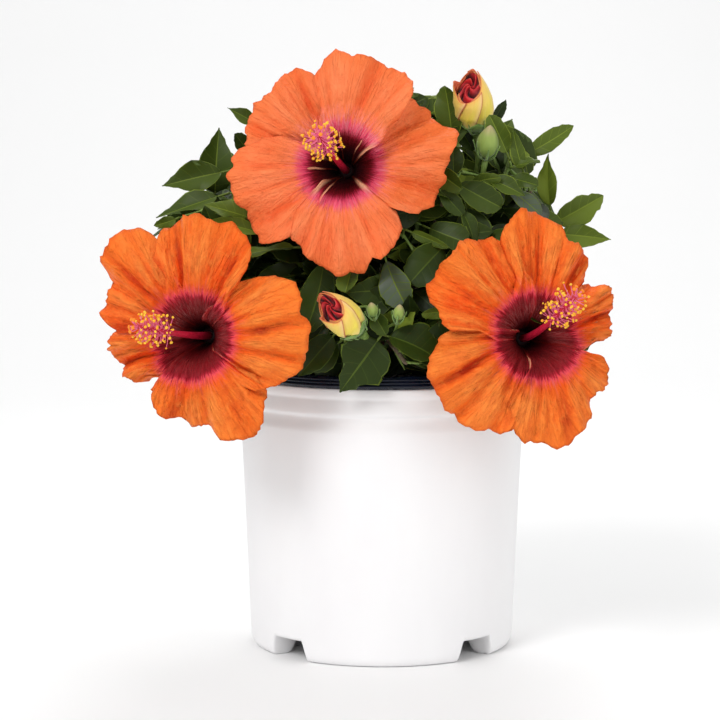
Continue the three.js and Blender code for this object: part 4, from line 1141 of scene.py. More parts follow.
def add_stalk(heap, limb):
    shares = np.linspace(0, 1, 40)
    joint = 1 + 0.28 * np.exp(-(((shares - 0.7) / 0.03) ** 2)) + 0.9 * smoothstep(shares, 0.9, 1)
    foot = 1 + 0.5 * np.exp(-14 * shares)
    heap.add(*tube(limb.at(shares), limb.radius(shares) * joint * foot, 10, bark_swell(5, 3, 0.02)))


def add_bracts(heap, stand, radius, length, lean, seed):
    draw = np.random.default_rng(seed)
    for k in range(BRACTS):
        turn = 2 * math.pi * (k + draw.uniform(-0.15, 0.15)) / BRACTS
        tip = radius + length * lean * draw.uniform(0.6, 1.3)
        line = [(1.6, -2.6), (radius + 0.4, 0.2), (radius + 1.2, 0.4 * length)]
        line += [(tip, length * draw.uniform(0.8, 1.1))]
        heap.add(*strap(stand, turn, line, 0.95), 1)


def bloom_cup(share, from_ridge):
    height = mix(-3.4, mix(9.2, 4.6, from_ridge**1.3), share)
    body = np.sqrt(np.clip((height + 3.6) / 4.2, 0.02, 1))
    flare = 1.1 * smoothstep(share, 0.8, 1) * (1 - from_ridge)
    return 5.9 * body + 0.2 * np.maximum(height, 0) + flare, height


for order, name in enumerate(BLOOMS):
    stand, heap, stalk = flower_stands[name], Heap(), stalks[name]
    add_stalk(heap, Limb(stalk.start, stalk.control, stand.at(0, 0, STALK_TOP), stalk.radii))
    heap.add(*toothed_cup(stand, bloom_cup, 0.7, 16, 60, CALYX_TEETH, 0.05, order), 1)
    heap.add(*bead(stand.at(0, 0, -0.6), (4.9, 4.9, 2.6), stand.axis, 16, 8), 2)
    add_bracts(heap, stand, 6.2, 9.5, 0.3, 90 + order)
    heap.piece(f"bloom_{name}_calyx", stalk_materials, slot="greenwood", replaces=[f"bloom_{name}_stalk"])
print("calyces:", len(BLOOMS))

# %% [markdown]
# ## Opening buds
# An opening bud is five petals rolled round one another like an umbrella. Each shows only its outer
# part, cream with a pink foot, and its edge runs up the bud as a thin red line. So the bud is built
# from five curved shells, each lying a little over the next. Their top is cut aslant, and in that
# mouth the inner petals stand in folds like a pinwheel, red, with a painted highlight on their crests
# and painted shade, almost black, in between.

# %% Shells of a bud
# (share of the length, share of the greatest width)
BUD_LINE = [(0, 0.3), (0.04, 0.52), (0.14, 0.8), (0.32, 1), (0.52, 0.97), (0.72, 0.8), (0.88, 0.62), (1, 0.5)]
SHELLS, SHELL_SPAN, SHELL_STEP, SHELL_ROWS, SHELL_COLUMNS = 5, math.radians(128), 0.95, 30, 20
SHELL_THICKNESS = 0.45
# share of the solid's width that the roll fills
SLIM = {"high": 0.9, "low": 0.8}
# name: the side of the mouth's low lip, the lip's low and high share of the length, the side of the free
# corner and the shell that has it
MOUTHS = {"high": (-108, 0.60, 1.0, -172, 1), "low": (-50, 0.60, 0.99, -95, 2)}


def bud_radius(share, width):
    return np.interp(share, *zip(*BUD_LINE)) * width / 2


def lip_height(name, turn, length):
    side, low, high, _, _ = MOUTHS[name]
    return length * mix(low, high, (1 - np.cos(turn - math.radians(side))) / 2)


def shell_grid(name, k, length, width, stand, seed):
    """One petal of the roll: its grid of points, and shares up it and across it."""
    draw = np.random.default_rng(seed)
    phase = draw.uniform(0, 6.28, 3)
    first = 2 * math.pi * k / SHELLS + draw.uniform(-0.12, 0.12)
    up = np.linspace(0, 1, SHELL_ROWS)[:, None]
    over = np.linspace(0, 1, SHELL_COLUMNS)[None, :]
    turn = first + SHELL_SPAN * over + 1.0 * up**1.3
    top = lip_height(name, turn, length)
    _, _, _, corner, eared = MOUTHS[name]
    away = (turn - math.radians(corner) + math.pi) % (2 * math.pi) - math.pi
    ear = np.exp(-((away / 0.3) ** 2)) * (k == eared)
    height = up * (top + 5.5 * ear * up**4) + 0.25 * np.sin(5 * turn + phase[0]) * up
    radius = bud_radius(height / length, width) - SHELL_STEP + SHELL_STEP * 1.5 * smoothstep(over, 0, 1)
    radius = radius + 4.2 * ear * up**5
    radius = radius + 0.22 * np.sin(9 * over * math.pi + phase[1]) * np.sin(math.pi * up)
    radius = radius - 0.9 * up**10 + 0.3 * smoothstep(over, 0.9, 1) * up
    return stand.around(radius, turn, height), up + 0 * over, over + 0 * up


# %% Skin of a bud
bud_skin = Finish("bud_skin", (0.88, 0.66, 0.2), 0.55, Sheen_Weight=0.2, Sheen_Roughness=0.4)
up_share, over_share = bud_skin.attribute("up_share"), bud_skin.attribute("over_share")
around, upwards = bud_skin.times(over_share, 14), bud_skin.times(up_share, 1.5)
ribs = bud_skin.noise(bud_skin.node("CombineXYZ", X=around, Y=upwards).outputs[0], 1.4, 3)
shifted = bud_skin.plus(up_share, bud_skin.times(bud_skin.maths("SUBTRACT", ribs, 0.5), 0.3))
CREAM, BUD_PINK = (0.9, 0.72, 0.2), (0.88, 0.55, 0.36)
BUD_YELLOW, BUD_ORANGE = (0.87, 0.71, 0.08), (0.88, 0.46, 0.09)
skin_tones = [(0.1, BUD_PINK), (0.28, CREAM), (0.5, BUD_YELLOW), (0.9, (0.87, 0.6, 0.13)), (1.0, BUD_ORANGE)]
skin = bud_skin.ramp(shifted, skin_tones)
flush = bud_skin.ramp(over_share, [(0.0, 0.3), (0.3, 0.0), (0.85, 0.0), (0.95, 0.4)])
skin = bud_skin.blend(flush, skin, (*BUD_PINK, 1))
red_edge = bud_skin.ramp(over_share, [(0.975, 0.0), (0.99, 0.8)])
skin = bud_skin.blend(red_edge, skin, (0.5, 0.035, 0.015, 1))
red_lip = bud_skin.ramp(up_share, [(0.972, 0.0), (0.992, 0.8)])
bud_skin.color(bud_skin.blend(red_lip, skin, (0.62, 0.09, 0.03, 1))).relief(ribs, 0.5, 0.7)
bud_skin.roughness(bud_skin.ramp(ribs, [(0.3, 0.48), (0.7, 0.62)]))
bud_inside = Finish("bud_inside", (0.75, 0.2, 0.06), 0.6)
bud_inside.mottled([(0.3, (0.6, 0.07, 0.03)), (0.7, (0.8, 0.25, 0.1))], 0.2, (1, 1, 1), 300, 3)
print("bud skin:", len(bud_skin.tree.nodes), "nodes")

# %% The folded heart
FOLDS, FOLD_DEPTH, HEART_SWIRL = 5, 5.2, 1.9
heart_red = Finish("heart_red", (0.55, 0.01, 0.015), 0.5, Sheen_Weight=0.3, Sheen_Roughness=0.3)
crest = heart_red.attribute("crest")
velvet = heart_red.noise(heart_red.place(), 500, 3)
# almost black between the folds and bright on the crests: painted shade and painted highlight over the
# petals' red
heart_shaded_tones = [(0.0, (0.02, 0, 0.002)), (0.3, (0.16, 0.002, 0.006)), (0.62, (0.5, 0.008, 0.014))]
heart_shaded_tones += [(0.85, (0.72, 0.03, 0.03)), (1.0, (0.87, 0.17, 0.11))]
heart_red.color(heart_red.ramp(crest, heart_shaded_tones)).relief(velvet, 0.2)


def heart_mesh(name, length, width, stand, seed):
    """A disc of folds that fills the mouth, and how near each point is to a crest."""
    draw = np.random.default_rng(seed)
    phase = draw.uniform(0, 6.28, 3)
    rows, columns = 36, 120
    out = np.linspace(0, 1, rows)[:, None]
    turn = ring_turns(columns)[None]
    lip = lip_height(name, turn, length)
    rim_radius = bud_radius(lip / length, width) - 1.1
    _, low, high, _, _ = MOUTHS[name]
    middle = length * mix(low, high, 0.5)
    swirl = turn + HEART_SWIRL * (1 - out) ** 1.2 + 0.25 * np.sin(2 * turn + phase[0])
    fold = np.abs(((FOLDS * swirl / (2 * math.pi)) % 1) * 2 - 1)
    fine_fold = np.abs((((FOLDS * 2 + 1) * (swirl + 0.7 * out) / (2 * math.pi)) % 1) * 2 - 1)
    peak = np.clip(0.78 * fold**1.3 + 0.3 * fine_fold - 0.1, 0, 1)
    base = mix(middle - 2.5, lip - 2.4, out**1.5)
    height = base + FOLD_DEPTH * (peak - 0.45) * np.sin(math.pi * np.clip(out * 0.93 + 0.07, 0, 1)) ** 0.5
    top = stand.around(out * rim_radius, turn + 0 * out, height)
    bottom = stand.around(out * rim_radius, turn + 0 * out, np.full_like(height, length * 0.45))
    return *two_skins(top, bottom), np.tile(peak.ravel(), 2)


# %% Opening buds
def bud_cup(heap, stand, length, width, seed):
    def cup(share, from_ridge):
        height = mix(-2.6, length * mix(0.24, 0.12, from_ridge**1.2), share)
        body = bud_radius(np.clip(height / length, 0, 1), width) + 0.95
        return body * np.clip((height + 2.9) / 3.4, 0.3, 1) ** 0.5, height

    heap.add(*toothed_cup(stand, cup, 0.6, 14, 50, CALYX_TEETH, 0.03, seed), 1)
    add_bracts(heap, stand, 0.36 * width, 0.2 * length + 2, 0.35, seed + 40)


for order, (name, (_, _, length, width, opening, _)) in enumerate(BUDS.items()):
    if not opening:
        continue
    stand, heap = bud_stands[name], Heap()
    width *= SLIM[name]
    ups, overs = [], []
    for k in range(SHELLS):
        grid, up_at, over_at = shell_grid(name, k, length, width, stand, 400 + 10 * order + k)
        points, front, back, edge = thin_sheet(grid, SHELL_THICKNESS)
        heap.add(points, np.vstack([front, edge]))
        heap.faces += (back + heap.count - len(points)).tolist()
        heap.tints += [1] * len(back)
        ups.append(np.tile(up_at.ravel(), 2))
        overs.append(np.tile(over_at.ravel(), 2))
    values = {"up_share": np.concatenate(ups), "over_share": np.concatenate(overs)}
    skins, petals = [bud_skin.material, bud_inside.material], [f"bud_{name}_petals"]
    heap.piece(f"bud_{name}_shells", skins, slot="bud", replaces=petals, values=values)
    points, faces, peaks = heart_mesh(name, length, width, stand, 440 + order)
    looks = {"slot": "heart", "replaces": [f"bud_{name}_heart"], "values": {"crest": peaks}}
    heart = new_piece(f"bud_{name}_folds", points, faces, [heart_red.material], **looks)
    clean(heart)
    stalk_heap = Heap()
    add_stalk(stalk_heap, stalks[name])
    bud_cup(stalk_heap, stand, length, width, 450 + order)
    stalk_heap.piece(f"bud_{name}_calyx", stalk_materials, slot="greenwood", replaces=[f"bud_{name}_stalk"])
print("opening buds:", len(MOUTHS))

# %% [markdown]
# ## Green buds
# Younger buds are shut: five sepals meet edge to edge over the rolled petals, with a ridge where they
# meet, and the bracts stand round them like a small crown. One is large enough to be a solid. The
# others are small, and sit on short stalks by the shoots' tips.

# %% Green buds
sepal = Finish("sepal_green", (0.3, 0.42, 0.08), 0.55, Sheen_Weight=0.25, Sheen_Roughness=0.5)
sepal_up = sepal.attribute("up_share")
sepal_streaks = sepal.noise(sepal.place((1, 1, 0.25)), 480, 5)
sepal_tones = [(0.0, (0.2, 0.33, 0.05)), (0.7, (0.34, 0.44, 0.09)), (0.97, (0.55, 0.38, 0.22))]
blush = sepal.ramp(sepal_up, sepal_tones)
sepal.color(sepal.blend(sepal.times(sepal_streaks, 0.6), blush, (0.12, 0.22, 0.03, 1)))
sepal.relief(sepal_streaks, 0.3)
# foot, way it points, length, width
SMALL_BUDS = [
    ((-5.5, -90, 200), (-0.15, -0.6, 0.8), 9, 6.4),
    ((8, -92, 198), (0.1, -0.55, 0.85), 10, 6.4),
    ((-66, 22, 305), (-0.3, 0.1, 0.9), 10, 6.4),
    ((92, 60, 262), (0.5, 0.4, 0.7), 12, 7.5),
    ((-20, 82, 288), (-0.1, 0.6, 0.8), 12, 7.5),
]


def shut_bud(stand, length, width):
    rows, columns = 22, 40
    up = np.linspace(0, 1, rows)[:, None]
    turn = ring_turns(columns)[None]
    body = np.sin(math.pi * np.clip(0.08 + 0.92 * up, 0, 1) ** 0.8) ** 0.75
    ridge = 1 + 0.07 * np.abs(np.cos(2.5 * turn)) ** 6 - 0.03
    radius = width / 2 * np.maximum(body, 0.02) * mix(ridge, 1, 0.3)
    points = stand.around(radius, turn + 0.5 * up, up * length + 0 * turn)
    faces = grid_faces(rows, columns, wrap=True).tolist()
    faces += [tuple(range(columns))[::-1], tuple((rows - 1) * columns + np.arange(columns))]
    return points.reshape(-1, 3), faces, (up + 0 * turn).ravel()


def green_bud(name, stand, length, width, limb, seed, petals=(), stalk=()):
    """A bud and its stem. petals and stalk name the solids that they replace, if there are any."""
    points, faces, up_at = shut_bud(stand, length, width)
    looks = {"slot": "greenwood", "replaces": petals, "values": {"up_share": up_at}}
    new_piece(f"{name}_sepals", points, faces, [sepal.material], **looks)
    stem = Heap()
    shares = np.linspace(0, 1, 16)
    stem.add(*tube(limb.at(shares), limb.radius(shares) * (1 + 0.5 * smoothstep(shares, 0.85, 1)), 8))
    add_bracts(stem, stand, 0.42 * width, 0.5 * length, 0.3, seed)
    stem.piece(f"{name}_stem", stalk_materials, slot="greenwood", replaces=stalk)


_, _, length, width, _, _ = BUDS["green"]
replaced = ["bud_green_petals"], ["bud_green_stalk"]
green_bud("bud_green", bud_stands["green"], length, width, stalks["green"], 470, *replaced)
for k, (bud_foot, pointing, length, width) in enumerate(SMALL_BUDS):
    stand = Stand(bud_foot, pointing)
    start = stand.at(0, 0, -14) + (CROWN_CENTRE - stand.foot) * 0.12
    stem = Limb(start, stand.at(0, 0, -7), stand.at(0, 0, 0.5), (0.7, 0.8))
    green_bud(f"small_bud_{k + 1}", stand, length, width, stem, 480 + k)
print("green buds:", 1 + len(SMALL_BUDS))

# %% [markdown]
# ## Room to grow
# Leaves crowd to the light but don't pass through one another, through the blooms or through the pot.
# The solids were grown by such a rule: a twig or a leaf is tried in several places round its limb, and
# kept in the first where all of it is free. The same rule with the same seeded draws gives the same
# plant here, so that the leaves below stand where the solids have theirs.

# %% Room to grow
BUD_AIR = 60
BLOOM_ROOMS = {"top": 69, "left": 74, "right": 74}


def height_and_radius(offsets, axis):
    """How far offsets go along an axis, and how far they are from it."""
    height = offsets @ axis
    return height, np.sqrt(np.maximum(0, (offsets**2).sum(1) - height**2))


def in_rooms(points):
    """Whether each point lies in the air that a bloom or a bud keeps for itself."""
    taken = np.zeros(len(points), bool)
    for name, reach in BLOOM_ROOMS.items():
        stand = bloom_stands[name]
        height, radius = height_and_radius(points - stand.foot, stand.axis)
        back = 34 * (1 - np.exp(-np.maximum(0, radius - 4) / 9))
        taken |= (radius <= reach) & (height > back - 4 - 9 * (radius / reach) ** 2)
    for name, (_, _, length, width, opening, _) in BUDS.items():
        stand = bud_stands[name]
        height, radius = height_and_radius(points - stand.at(0, 0, length * 0.45), stand.axis)
        ahead = BUD_AIR if opening else 0.65 * length
        taken |= (radius < width / 2 + 3) & (height > -0.62 * length) & (height < ahead)
    return taken


def in_crown(points, stretch=1.0):
    scaled = np.abs((points - CROWN_CENTRE) / (CROWN_REACH * stretch))
    from_axis = np.hypot(points[:, 0], points[:, 1])
    over_rim = np.where(from_axis < RIM_RADIUS + 2.5, RIM_TOP + 2, RIM_TOP - 8)
    floor_z = np.where(from_axis < SKIRT_OUTER - 4, SOIL_Z + 2, over_rim)
    return ((scaled**CROWN_SQUARENESS).sum(1) <= 1) & (points[:, 2] > floor_z)


def in_cell(points, name, clearance):
    """Each mass keeps to the points that are nearer its own heart than any other's."""
    own = ((points - hearts[name]) ** 2).sum(1)
    on_own_side = np.ones(len(points), bool)
    for other, heart in hearts.items():
        if other != name:
            lead = ((points - heart) ** 2).sum(1) - own
            on_own_side &= lead / (2 * np.linalg.norm(heart - hearts[name])) > clearance
    return on_own_side


def is_free(points, name, clearance=0.0, stretch=1.0):
    if in_rooms(points).any() or not in_crown(points, stretch).all():
        return False
    if not in_cell(points, name, 0.5 + clearance).all():
        return False
    others = [limb for other, limb in mass_stems.items() if other != name]
    limbs = [main_stem, *boughs.values(), *stalks.values(), *others]
    return not any(limb.near(points, 2.6 + clearance).any() for limb in limbs)


print("limbs that all growth keeps clear of:", 1 + len(boughs) + len(stalks))

# %% Twigs as the solids have them
TWIGS_PER_MASS, TWIG_TRIES, TWIG_LENGTH, TWIG_SPREAD, TWIG_RADII = 7, 7, 36, (78, 30), (1.6, 1.3)
SIDE_SEED = (0.2, 0.1, 1)


def side_of(along, degrees):
    """A direction square to a limb, turned about it."""
    return turn_about(unit(np.cross(SIDE_SEED, along)), along, degrees)


def grow_twigs(name):
    stem, twigs = mass_stems[name], []
    for i in range(TWIGS_PER_MASS):
        share = i / (TWIGS_PER_MASS - 1)
        start, along = stem.at(mix(0.08, 0.96, share)), stem.tangent(share)
        spread = math.radians(mix(*TWIG_SPREAD, share))
        for attempt in range(TWIG_TRIES):
            side = side_of(along, GOLDEN_TURN * i + 52 * attempt)
            direction = along * math.cos(spread) + side * math.sin(spread)
            end = start + TWIG_LENGTH * (1 - 0.09 * attempt) * direction
            twig = Limb(start, (start + end) / 2, end, TWIG_RADII)
            meets_stalk = any(stalk.near(twig.samples, 4).any() for stalk in stalks.values())
            if not meets_stalk and is_free(twig.samples[3:], name):
                twigs.append(twig)
                break
    return twigs


def total(groups):
    return sum(map(len, groups.values()))


twigs = {name: grow_twigs(name) for name in MASSES}
print("twigs:", total(twigs))

# %% Leaves as the solids have them
LEAVES_PER_TWIG, LEAF_LENGTH, LEAF_WIDTH, LEAF_SPACING, LEAF_TURNS = 5, 52, 0.62, 4.5, 5
# sideways, outwards, size
LEAF_LEANS = [(1.2, 0.15, 1), (0.8, 0.45, 0.95), (1.7, 0, 0.8), (1, 0.7, 0.7)]


def seeded(state):
    """The draws that the solids were grown with."""
    while True:
        state = (state * 1664525 + 1013904223) % 4294967296
        yield state / 4294967296


def leaf_samples(root, along, face, length):
    side = unit(np.cross(along, face))
    normal = unit(np.cross(side, along))
    half = length * LEAF_WIDTH / 2
    margin = ((0.44, 1), (0.76, 0.66))
    places = [(s, sign * w, 0.14 * w * half) for sign in (-1, 1) for s, w in margin] + [(1, 0, 0)]
    for s in (0.18, 0.32, 0.46, 0.6, 0.74, 0.88):
        width = min(s / 0.44, 1, 1.9 * (1 - s))
        places += [(s, across, 0) for across in (-0.62 * width, 0, 0.62 * width)]
    s, across, lift = np.array(places).T[..., None]
    return root + along * s * length + side * across * half + normal * (lift - 0.16 * length * s * s)


def leaves_on(limb, name, limbs, first, count, grown, draw, scale=1.0, room=(LEAF_SPACING, 1.0, None)):
    """Leaves round a limb by 144 degrees. One that has no room turns about the limb, then leans and
    shrinks. Each is (root, along, face, length, samples, limb). room holds how near two leaves may
    stand, how far the crown is stretched for them, and the test for places that are barred."""
    spacing, stretch, barred = room
    neighbours = [other for other in limbs if other is not limb]
    for i in range(count):
        t = mix(first, 1, i / (count - 1))
        stem, last = limb.tangent(t), i == count - 1
        root = limb.at(t) - (1.2 * stem if last else 0)
        outward = unit((root - CROWN_CENTRE) / CROWN_REACH)
        length = scale * LEAF_LENGTH * mix(0.82, 1.04, next(draw))
        face = outward + (0.3 * (next(draw) - 0.5), -0.2, 0.45)
        for attempt in range(len(LEAF_LEANS) * LEAF_TURNS):
            round_number = attempt // LEAF_TURNS
            sideways, outwards, size = LEAF_LEANS[round_number]
            side = side_of(stem, 144 * i + 72 * attempt + 36 * round_number)
            along = stem + side * (0.5 if last else sideways)
            along = unit(along + outward * (outwards - 0.75 * along.dot(outward)))
            samples = leaf_samples(root, along, face, size * length)
            if not is_free(samples, name, 0, stretch):
                continue
            if any(other.near(samples, 2).any() for other in neighbours):
                continue
            if grown:
                taken = np.concatenate([leaf[4] for leaf in grown])
                away = np.linalg.norm(samples[:, None] - taken[None], axis=-1)
                if away.min() <= spacing:
                    continue
            if barred and barred(samples):
                continue
            grown.append((root, along, face, size * length, samples, limb))
            break


leaves = {name: [] for name in MASSES}
for order, name in enumerate(MASSES):
    draw = seeded(4021 + 977 * order)
    limbs = [mass_stems[name], *twigs[name]]
    for twig in twigs[name]:
        leaves_on(twig, name, limbs, 0.25, LEAVES_PER_TWIG, leaves[name], draw)
    leaves_on(mass_stems[name], name, limbs, 0.4, 4, leaves[name], draw)
print("leaves:", total(leaves))

# %% [markdown]
# ## Finer twigs
# The real shrub has more and smaller leaves than its solids. So each twig carries shorter shoots, and
# each shoot a few smaller leaves that may stand closer together. They are grown by the same rule, so
# that none of them passes through a bloom or a bough.

# %% Finer twigs
SHOOT_SHARES, SHOOT_LENGTHS, SHOOT_RADII = (0.3, 0.55, 0.8), (15, 23), (1.05, 0.75)
SHOOT_LEAVES, SHOOT_LEAF_SCALE, SHOOT_STRETCH = 4, (0.62, 0.86), 1.04
SHOOT_ROOM = (1.7, SHOOT_STRETCH, None)
shoots = {name: [] for name in MASSES}
for order, name in enumerate(MASSES):
    draw, place = seeded(77 + 31 * order), np.random.default_rng(300 + order)
    carriers = [mass_stems[name], *twigs[name]]
    for n, carrier in enumerate(carriers):
        for share in SHOOT_SHARES:
            start, along = carrier.at(share), carrier.tangent(share)
            for attempt in range(8):
                side = side_of(along, GOLDEN_TURN * (n + 3 * share) + 47 * attempt)
                outward = unit((start - CROWN_CENTRE) / CROWN_REACH)
                direction = unit(0.6 * along + 0.8 * side + 0.35 * outward)
                end = start + direction * place.uniform(*SHOOT_LENGTHS)
                shoot = Limb(start, (start + end) / 2 + 1.5 * UP, end, SHOOT_RADII)
                if is_free(shoot.samples[5:], name, -1, SHOOT_STRETCH):
                    shoots[name].append(shoot)
                    break
    limbs = [mass_stems[name], *twigs[name]]
    for shoot in shoots[name]:
        scale = place.uniform(*SHOOT_LEAF_SCALE)
        leaves_on(shoot, name, limbs, 0.3, SHOOT_LEAVES, leaves[name], draw, scale, SHOOT_ROOM)
print("shoots:", total(shoots), "leaves:", total(leaves))

# %% [markdown]
# ## Leaves in full view
# A rule gives a plant of the same kind, but not the very leaves that the eye goes to. So the leaves
# that stand clear, against the sky, round the buds and over the rim, were measured one by one, and
# each sits on a short shoot of its own.

# %% What the camera sees
PHOTO_SIDE, FILM_SIDE = 720, 36
PETIOLE_SHARE, TO_VIEWER = 0.16, unit((0, -1, 0.35))


def seen(points):
    """Where the camera sees points: across and down in the photograph's pixels, and how far off."""
    away, tilt = points - np.array(EYE), math.radians(EYE_TILT)
    far = away[..., 1] * math.cos(tilt) - away[..., 2] * math.sin(tilt)
    high = away[..., 2] * math.cos(tilt) + away[..., 1] * math.sin(tilt)
    scale = PHOTO_SIDE * LENS / FILM_SIDE / far
    return np.stack([PHOTO_SIDE / 2 + away[..., 0] * scale, PHOTO_SIDE / 2 - high * scale, far], -1)


def inside(points, outline):
    """Whether each point lies inside a closed outline, by counting the sides it lies left of."""
    odd = np.zeros(points.shape[:-1], bool)
    for (x0, y0), (x1, y1) in zip(outline, outline[1:] + outline[:1]):
        if y0 != y1:
            crosses = (y0 > points[..., 1]) != (y1 > points[..., 1])
            odd ^= crosses & (points[..., 0] < x0 + (points[..., 1] - y0) * (x1 - x0) / (y1 - y0))
    return odd


# the crown's edge against the sky and the pot, in the photograph's pixels
CROWN_EDGE = [(160, 222), (170, 208), (186, 200), (198, 190), (200, 165), (214, 150), (232, 146)]
CROWN_EDGE += [(240, 130), (250, 118), (262, 95), (300, 72), (318, 56), (352, 56), (405, 74)]
CROWN_EDGE += [(418, 92), (432, 100), (446, 92), (462, 100), (492, 108), (505, 118), (518, 131)]
CROWN_EDGE += [(527, 138), (527, 152), (536, 166), (536, 182), (546, 202), (556, 212), (572, 245)]
CROWN_EDGE += [(584, 275), (592, 330), (586, 376), (130, 376), (112, 340), (110, 250), (130, 235)]
print("the camera sees the bud's foot at", seen(bud_stands["low"].foot).round())

# %% Leaves in full view
# foot and tip in the photograph's pixels, each with the distance it lies to the back, then the blade's
# width, its tone (0 is the darkest, 8 the palest, 9 waxy with a painted sheen), how pointed and how lobed it
# is
FULL_VIEW = [
    ((215, 193), 4, (217, 128), 2, 22, 4, 1.15, 0.08),
    ((222, 172), -8, (162, 184), -14, 18, 4, 1.2, 0.05),
    ((218, 196), -22, (157, 214), -30, 15, 4, 1.2, 0.06),
    ((176, 219), -30, (155, 227), -34, 7, 5, 0.8, 0.1),
    ((254, 122), -20, (229, 108), -24, 9, 4, 1.5, 0.03),
    ((249, 152), -14, (235, 134), -18, 10, 2, 0.7, 0.1),
    ((248, 217), -56, (207, 203), -64, 13, 6, 1.1, 0.06),
    ((260, 233), -60, (214, 215), -68, 10, 6, 0.6, 0.03),
    ((294, 247), -66, (243, 249), -74, 9, 5, 0.5, 0.03),
    ((324, 262), -70, (316, 334), -82, 21, 2, 0.6, 0.05),
    ((333, 336), -80, (299, 374), -92, 17, 1, 1, 0.05),
    ((378, 340), -88, (343, 390), -101, 29, 2, 1.1, 0.26),
    ((389, 336), -86, (437, 347), -94, 28, 2, 0.5, 0.06),
    ((452, 312), -82, (424, 311), -88, 8, 6, 0.6, 0.05),
    ((386, 261), -80, (399, 304), -92, 19, 9, 0.35, 0.04),
    ((444, 246), -76, (410, 281), -88, 21, 2, 0.5, 0.04),
    ((352, 266), -78, (347, 289), -88, 12, 5, 0.4, 0.03),
    ((374, 314), -84, (385, 334), -90, 10, 3, 0.5, 0.1),
    ((452, 140), -38, (449, 86), -42, 16, 4, 0.55, 0.05),
    ((507, 153), -48, (491, 115), -54, 12, 5, 0.5, 0.04),
    ((494, 121), -28, (505, 100), -30, 7, 1, 1, 0.03),
    ((523, 170), -46, (510, 132), -50, 8, 5, 0.8, 0.1),
    ((514, 166), -46, (537, 160), -54, 8, 5, 0.5, 0.15),
    ((458, 184), -62, (499, 207), -72, 16, 3, 0.4, 0.03),
    ((436, 170), -64, (460, 190), -72, 14, 4, 0.45, 0.03),
    ((470, 184), -58, (497, 173), -64, 8, 5, 0.6, 0.05),
    ((489, 179), -56, (526, 191), -64, 11, 4, 1.1, 0.12),
    ((512, 178), -48, (537, 184), -54, 11, 4, 0.5, 0.05),
    ((500, 188), -50, (485, 221), -58, 15, 9, 0.5, 0.08),
    ((508, 188), -54, (541, 209), -62, 13, 9, 0.5, 0.05),
    ((429, 228), -70, (465, 243), -82, 17, 3, 0.45, 0.04),
    ((440, 190), -68, (462, 212), -76, 10, 2, 0.6, 0.04),
    ((462, 211), -68, (481, 239), -78, 10, 3, 0.6, 0.04),
    ((411, 232), -76, (449, 247), -84, 7, 5, 0.8, 0.04),
    ((525, 155), 0, (575, 130), -4, 12, 6, 0.8, 0.05),
    ((468, 128), -38, (441, 140), -42, 9, 3, 0.6, 0.05),
    ((474, 151), -24, (457, 126), -28, 11, 2, 0.6, 0.05),
    ((550, 206), 0, (543, 156), -4, 12, 7, 1, 0.08),
    ((556, 222), -4, (604, 197), -8, 17, 6, 0.75, 0.13),
    ((560, 234), -10, (611, 237), -14, 14, 6, 1.2, 0.03),
]
print("leaves in full view:", len(FULL_VIEW))

# %% Places to keep clear
def at_pixel(pixel, to_back):
    """The point that lies that far to the back and that the camera sees at a pixel."""
    across, down = pixel
    scale, tilt = PHOTO_SIDE * LENS / FILM_SIDE, math.radians(EYE_TILT)
    rise = (PHOTO_SIDE / 2 - down) / scale
    far = (to_back - EYE[1]) / (math.cos(tilt) + rise * math.sin(tilt))
    x = EYE[0] + far * (across - PHOTO_SIDE / 2) / scale
    return np.array([x, to_back, EYE[2] + far * (rise * math.cos(tilt) - math.sin(tilt))])


def blade_points(foot, tip, width, face):
    along, side = tip - foot, unit(np.cross(tip - foot, face))
    places, across = np.meshgrid(np.linspace(0, 1, 24), np.linspace(-0.5, 0.5, 16))
    sideways = across * width * np.sin(math.pi * np.clip(places * 0.94 + 0.05, 0, 1)) ** 0.6
    return (foot + places[..., None] * along + sideways[..., None] * side).reshape(-1, 3)


clear_points, full_view_leaves = [], []
draw = np.random.default_rng(640)
for foot_pixel, foot_y, tip_pixel, tip_y, width, *look in FULL_VIEW:
    foot, tip = at_pixel(foot_pixel, foot_y), at_pixel(tip_pixel, tip_y)
    face = turn_about(TO_VIEWER, unit(tip - foot), draw.uniform(-28, 28))
    full_view_leaves.append((foot, tip, face, width / 2, *look))
    clear_points.append(blade_points(foot, tip, width, face))
for name, (_, _, length, width, _, _) in BUDS.items():
    up_at, across = np.meshgrid(np.linspace(-0.05, 1, 30), np.linspace(-0.5, 0.5, 20))
    clear_points.append(bud_stands[name].at(across * width, 0 * across, up_at * length).reshape(-1, 3))
for bud_foot, pointing, length, width in SMALL_BUDS[:2]:
    stand = Stand(bud_foot, pointing)
    up_at, across = np.meshgrid(np.linspace(-0.3, 1, 12), np.linspace(-0.9, 0.9, 12))
    clear_points.append(stand.at(across * width, 0 * across, up_at * length).reshape(-1, 3))
print("points to keep clear:", sum(map(len, clear_points)))

# %% [markdown]
# ## Growth that stands in the way
# A gardener would cut a twig that hides a flower bud. Here each clear place marks small squares of the
# camera's view with its distance, and growth that falls on such a square and lies nearer is left out.
# So is growth that would show where there is open sky beside the crown.

# %% Growth that stands in the way
CELL, AIR_BEHIND = 3, 2.0
cells = PHOTO_SIDE // CELL
keep_clear = np.full((cells, cells), -np.inf)
views = seen(np.concatenate(clear_points))
places = np.clip((views[:, :2] / CELL).astype(int), 0, cells - 1)
np.maximum.at(keep_clear, (places[:, 1], places[:, 0]), views[:, 2] + AIR_BEHIND)


def in_the_way(points):
    """Whether growth at these points would hide a clear place, or show where the sky is open."""
    view = seen(points)
    spot = np.clip((view[:, :2] / CELL).astype(int), 0, cells - 1)
    return (view[:, 2] < keep_clear[spot[:, 1], spot[:, 0]]).any() or not inside(view, CROWN_EDGE).all()


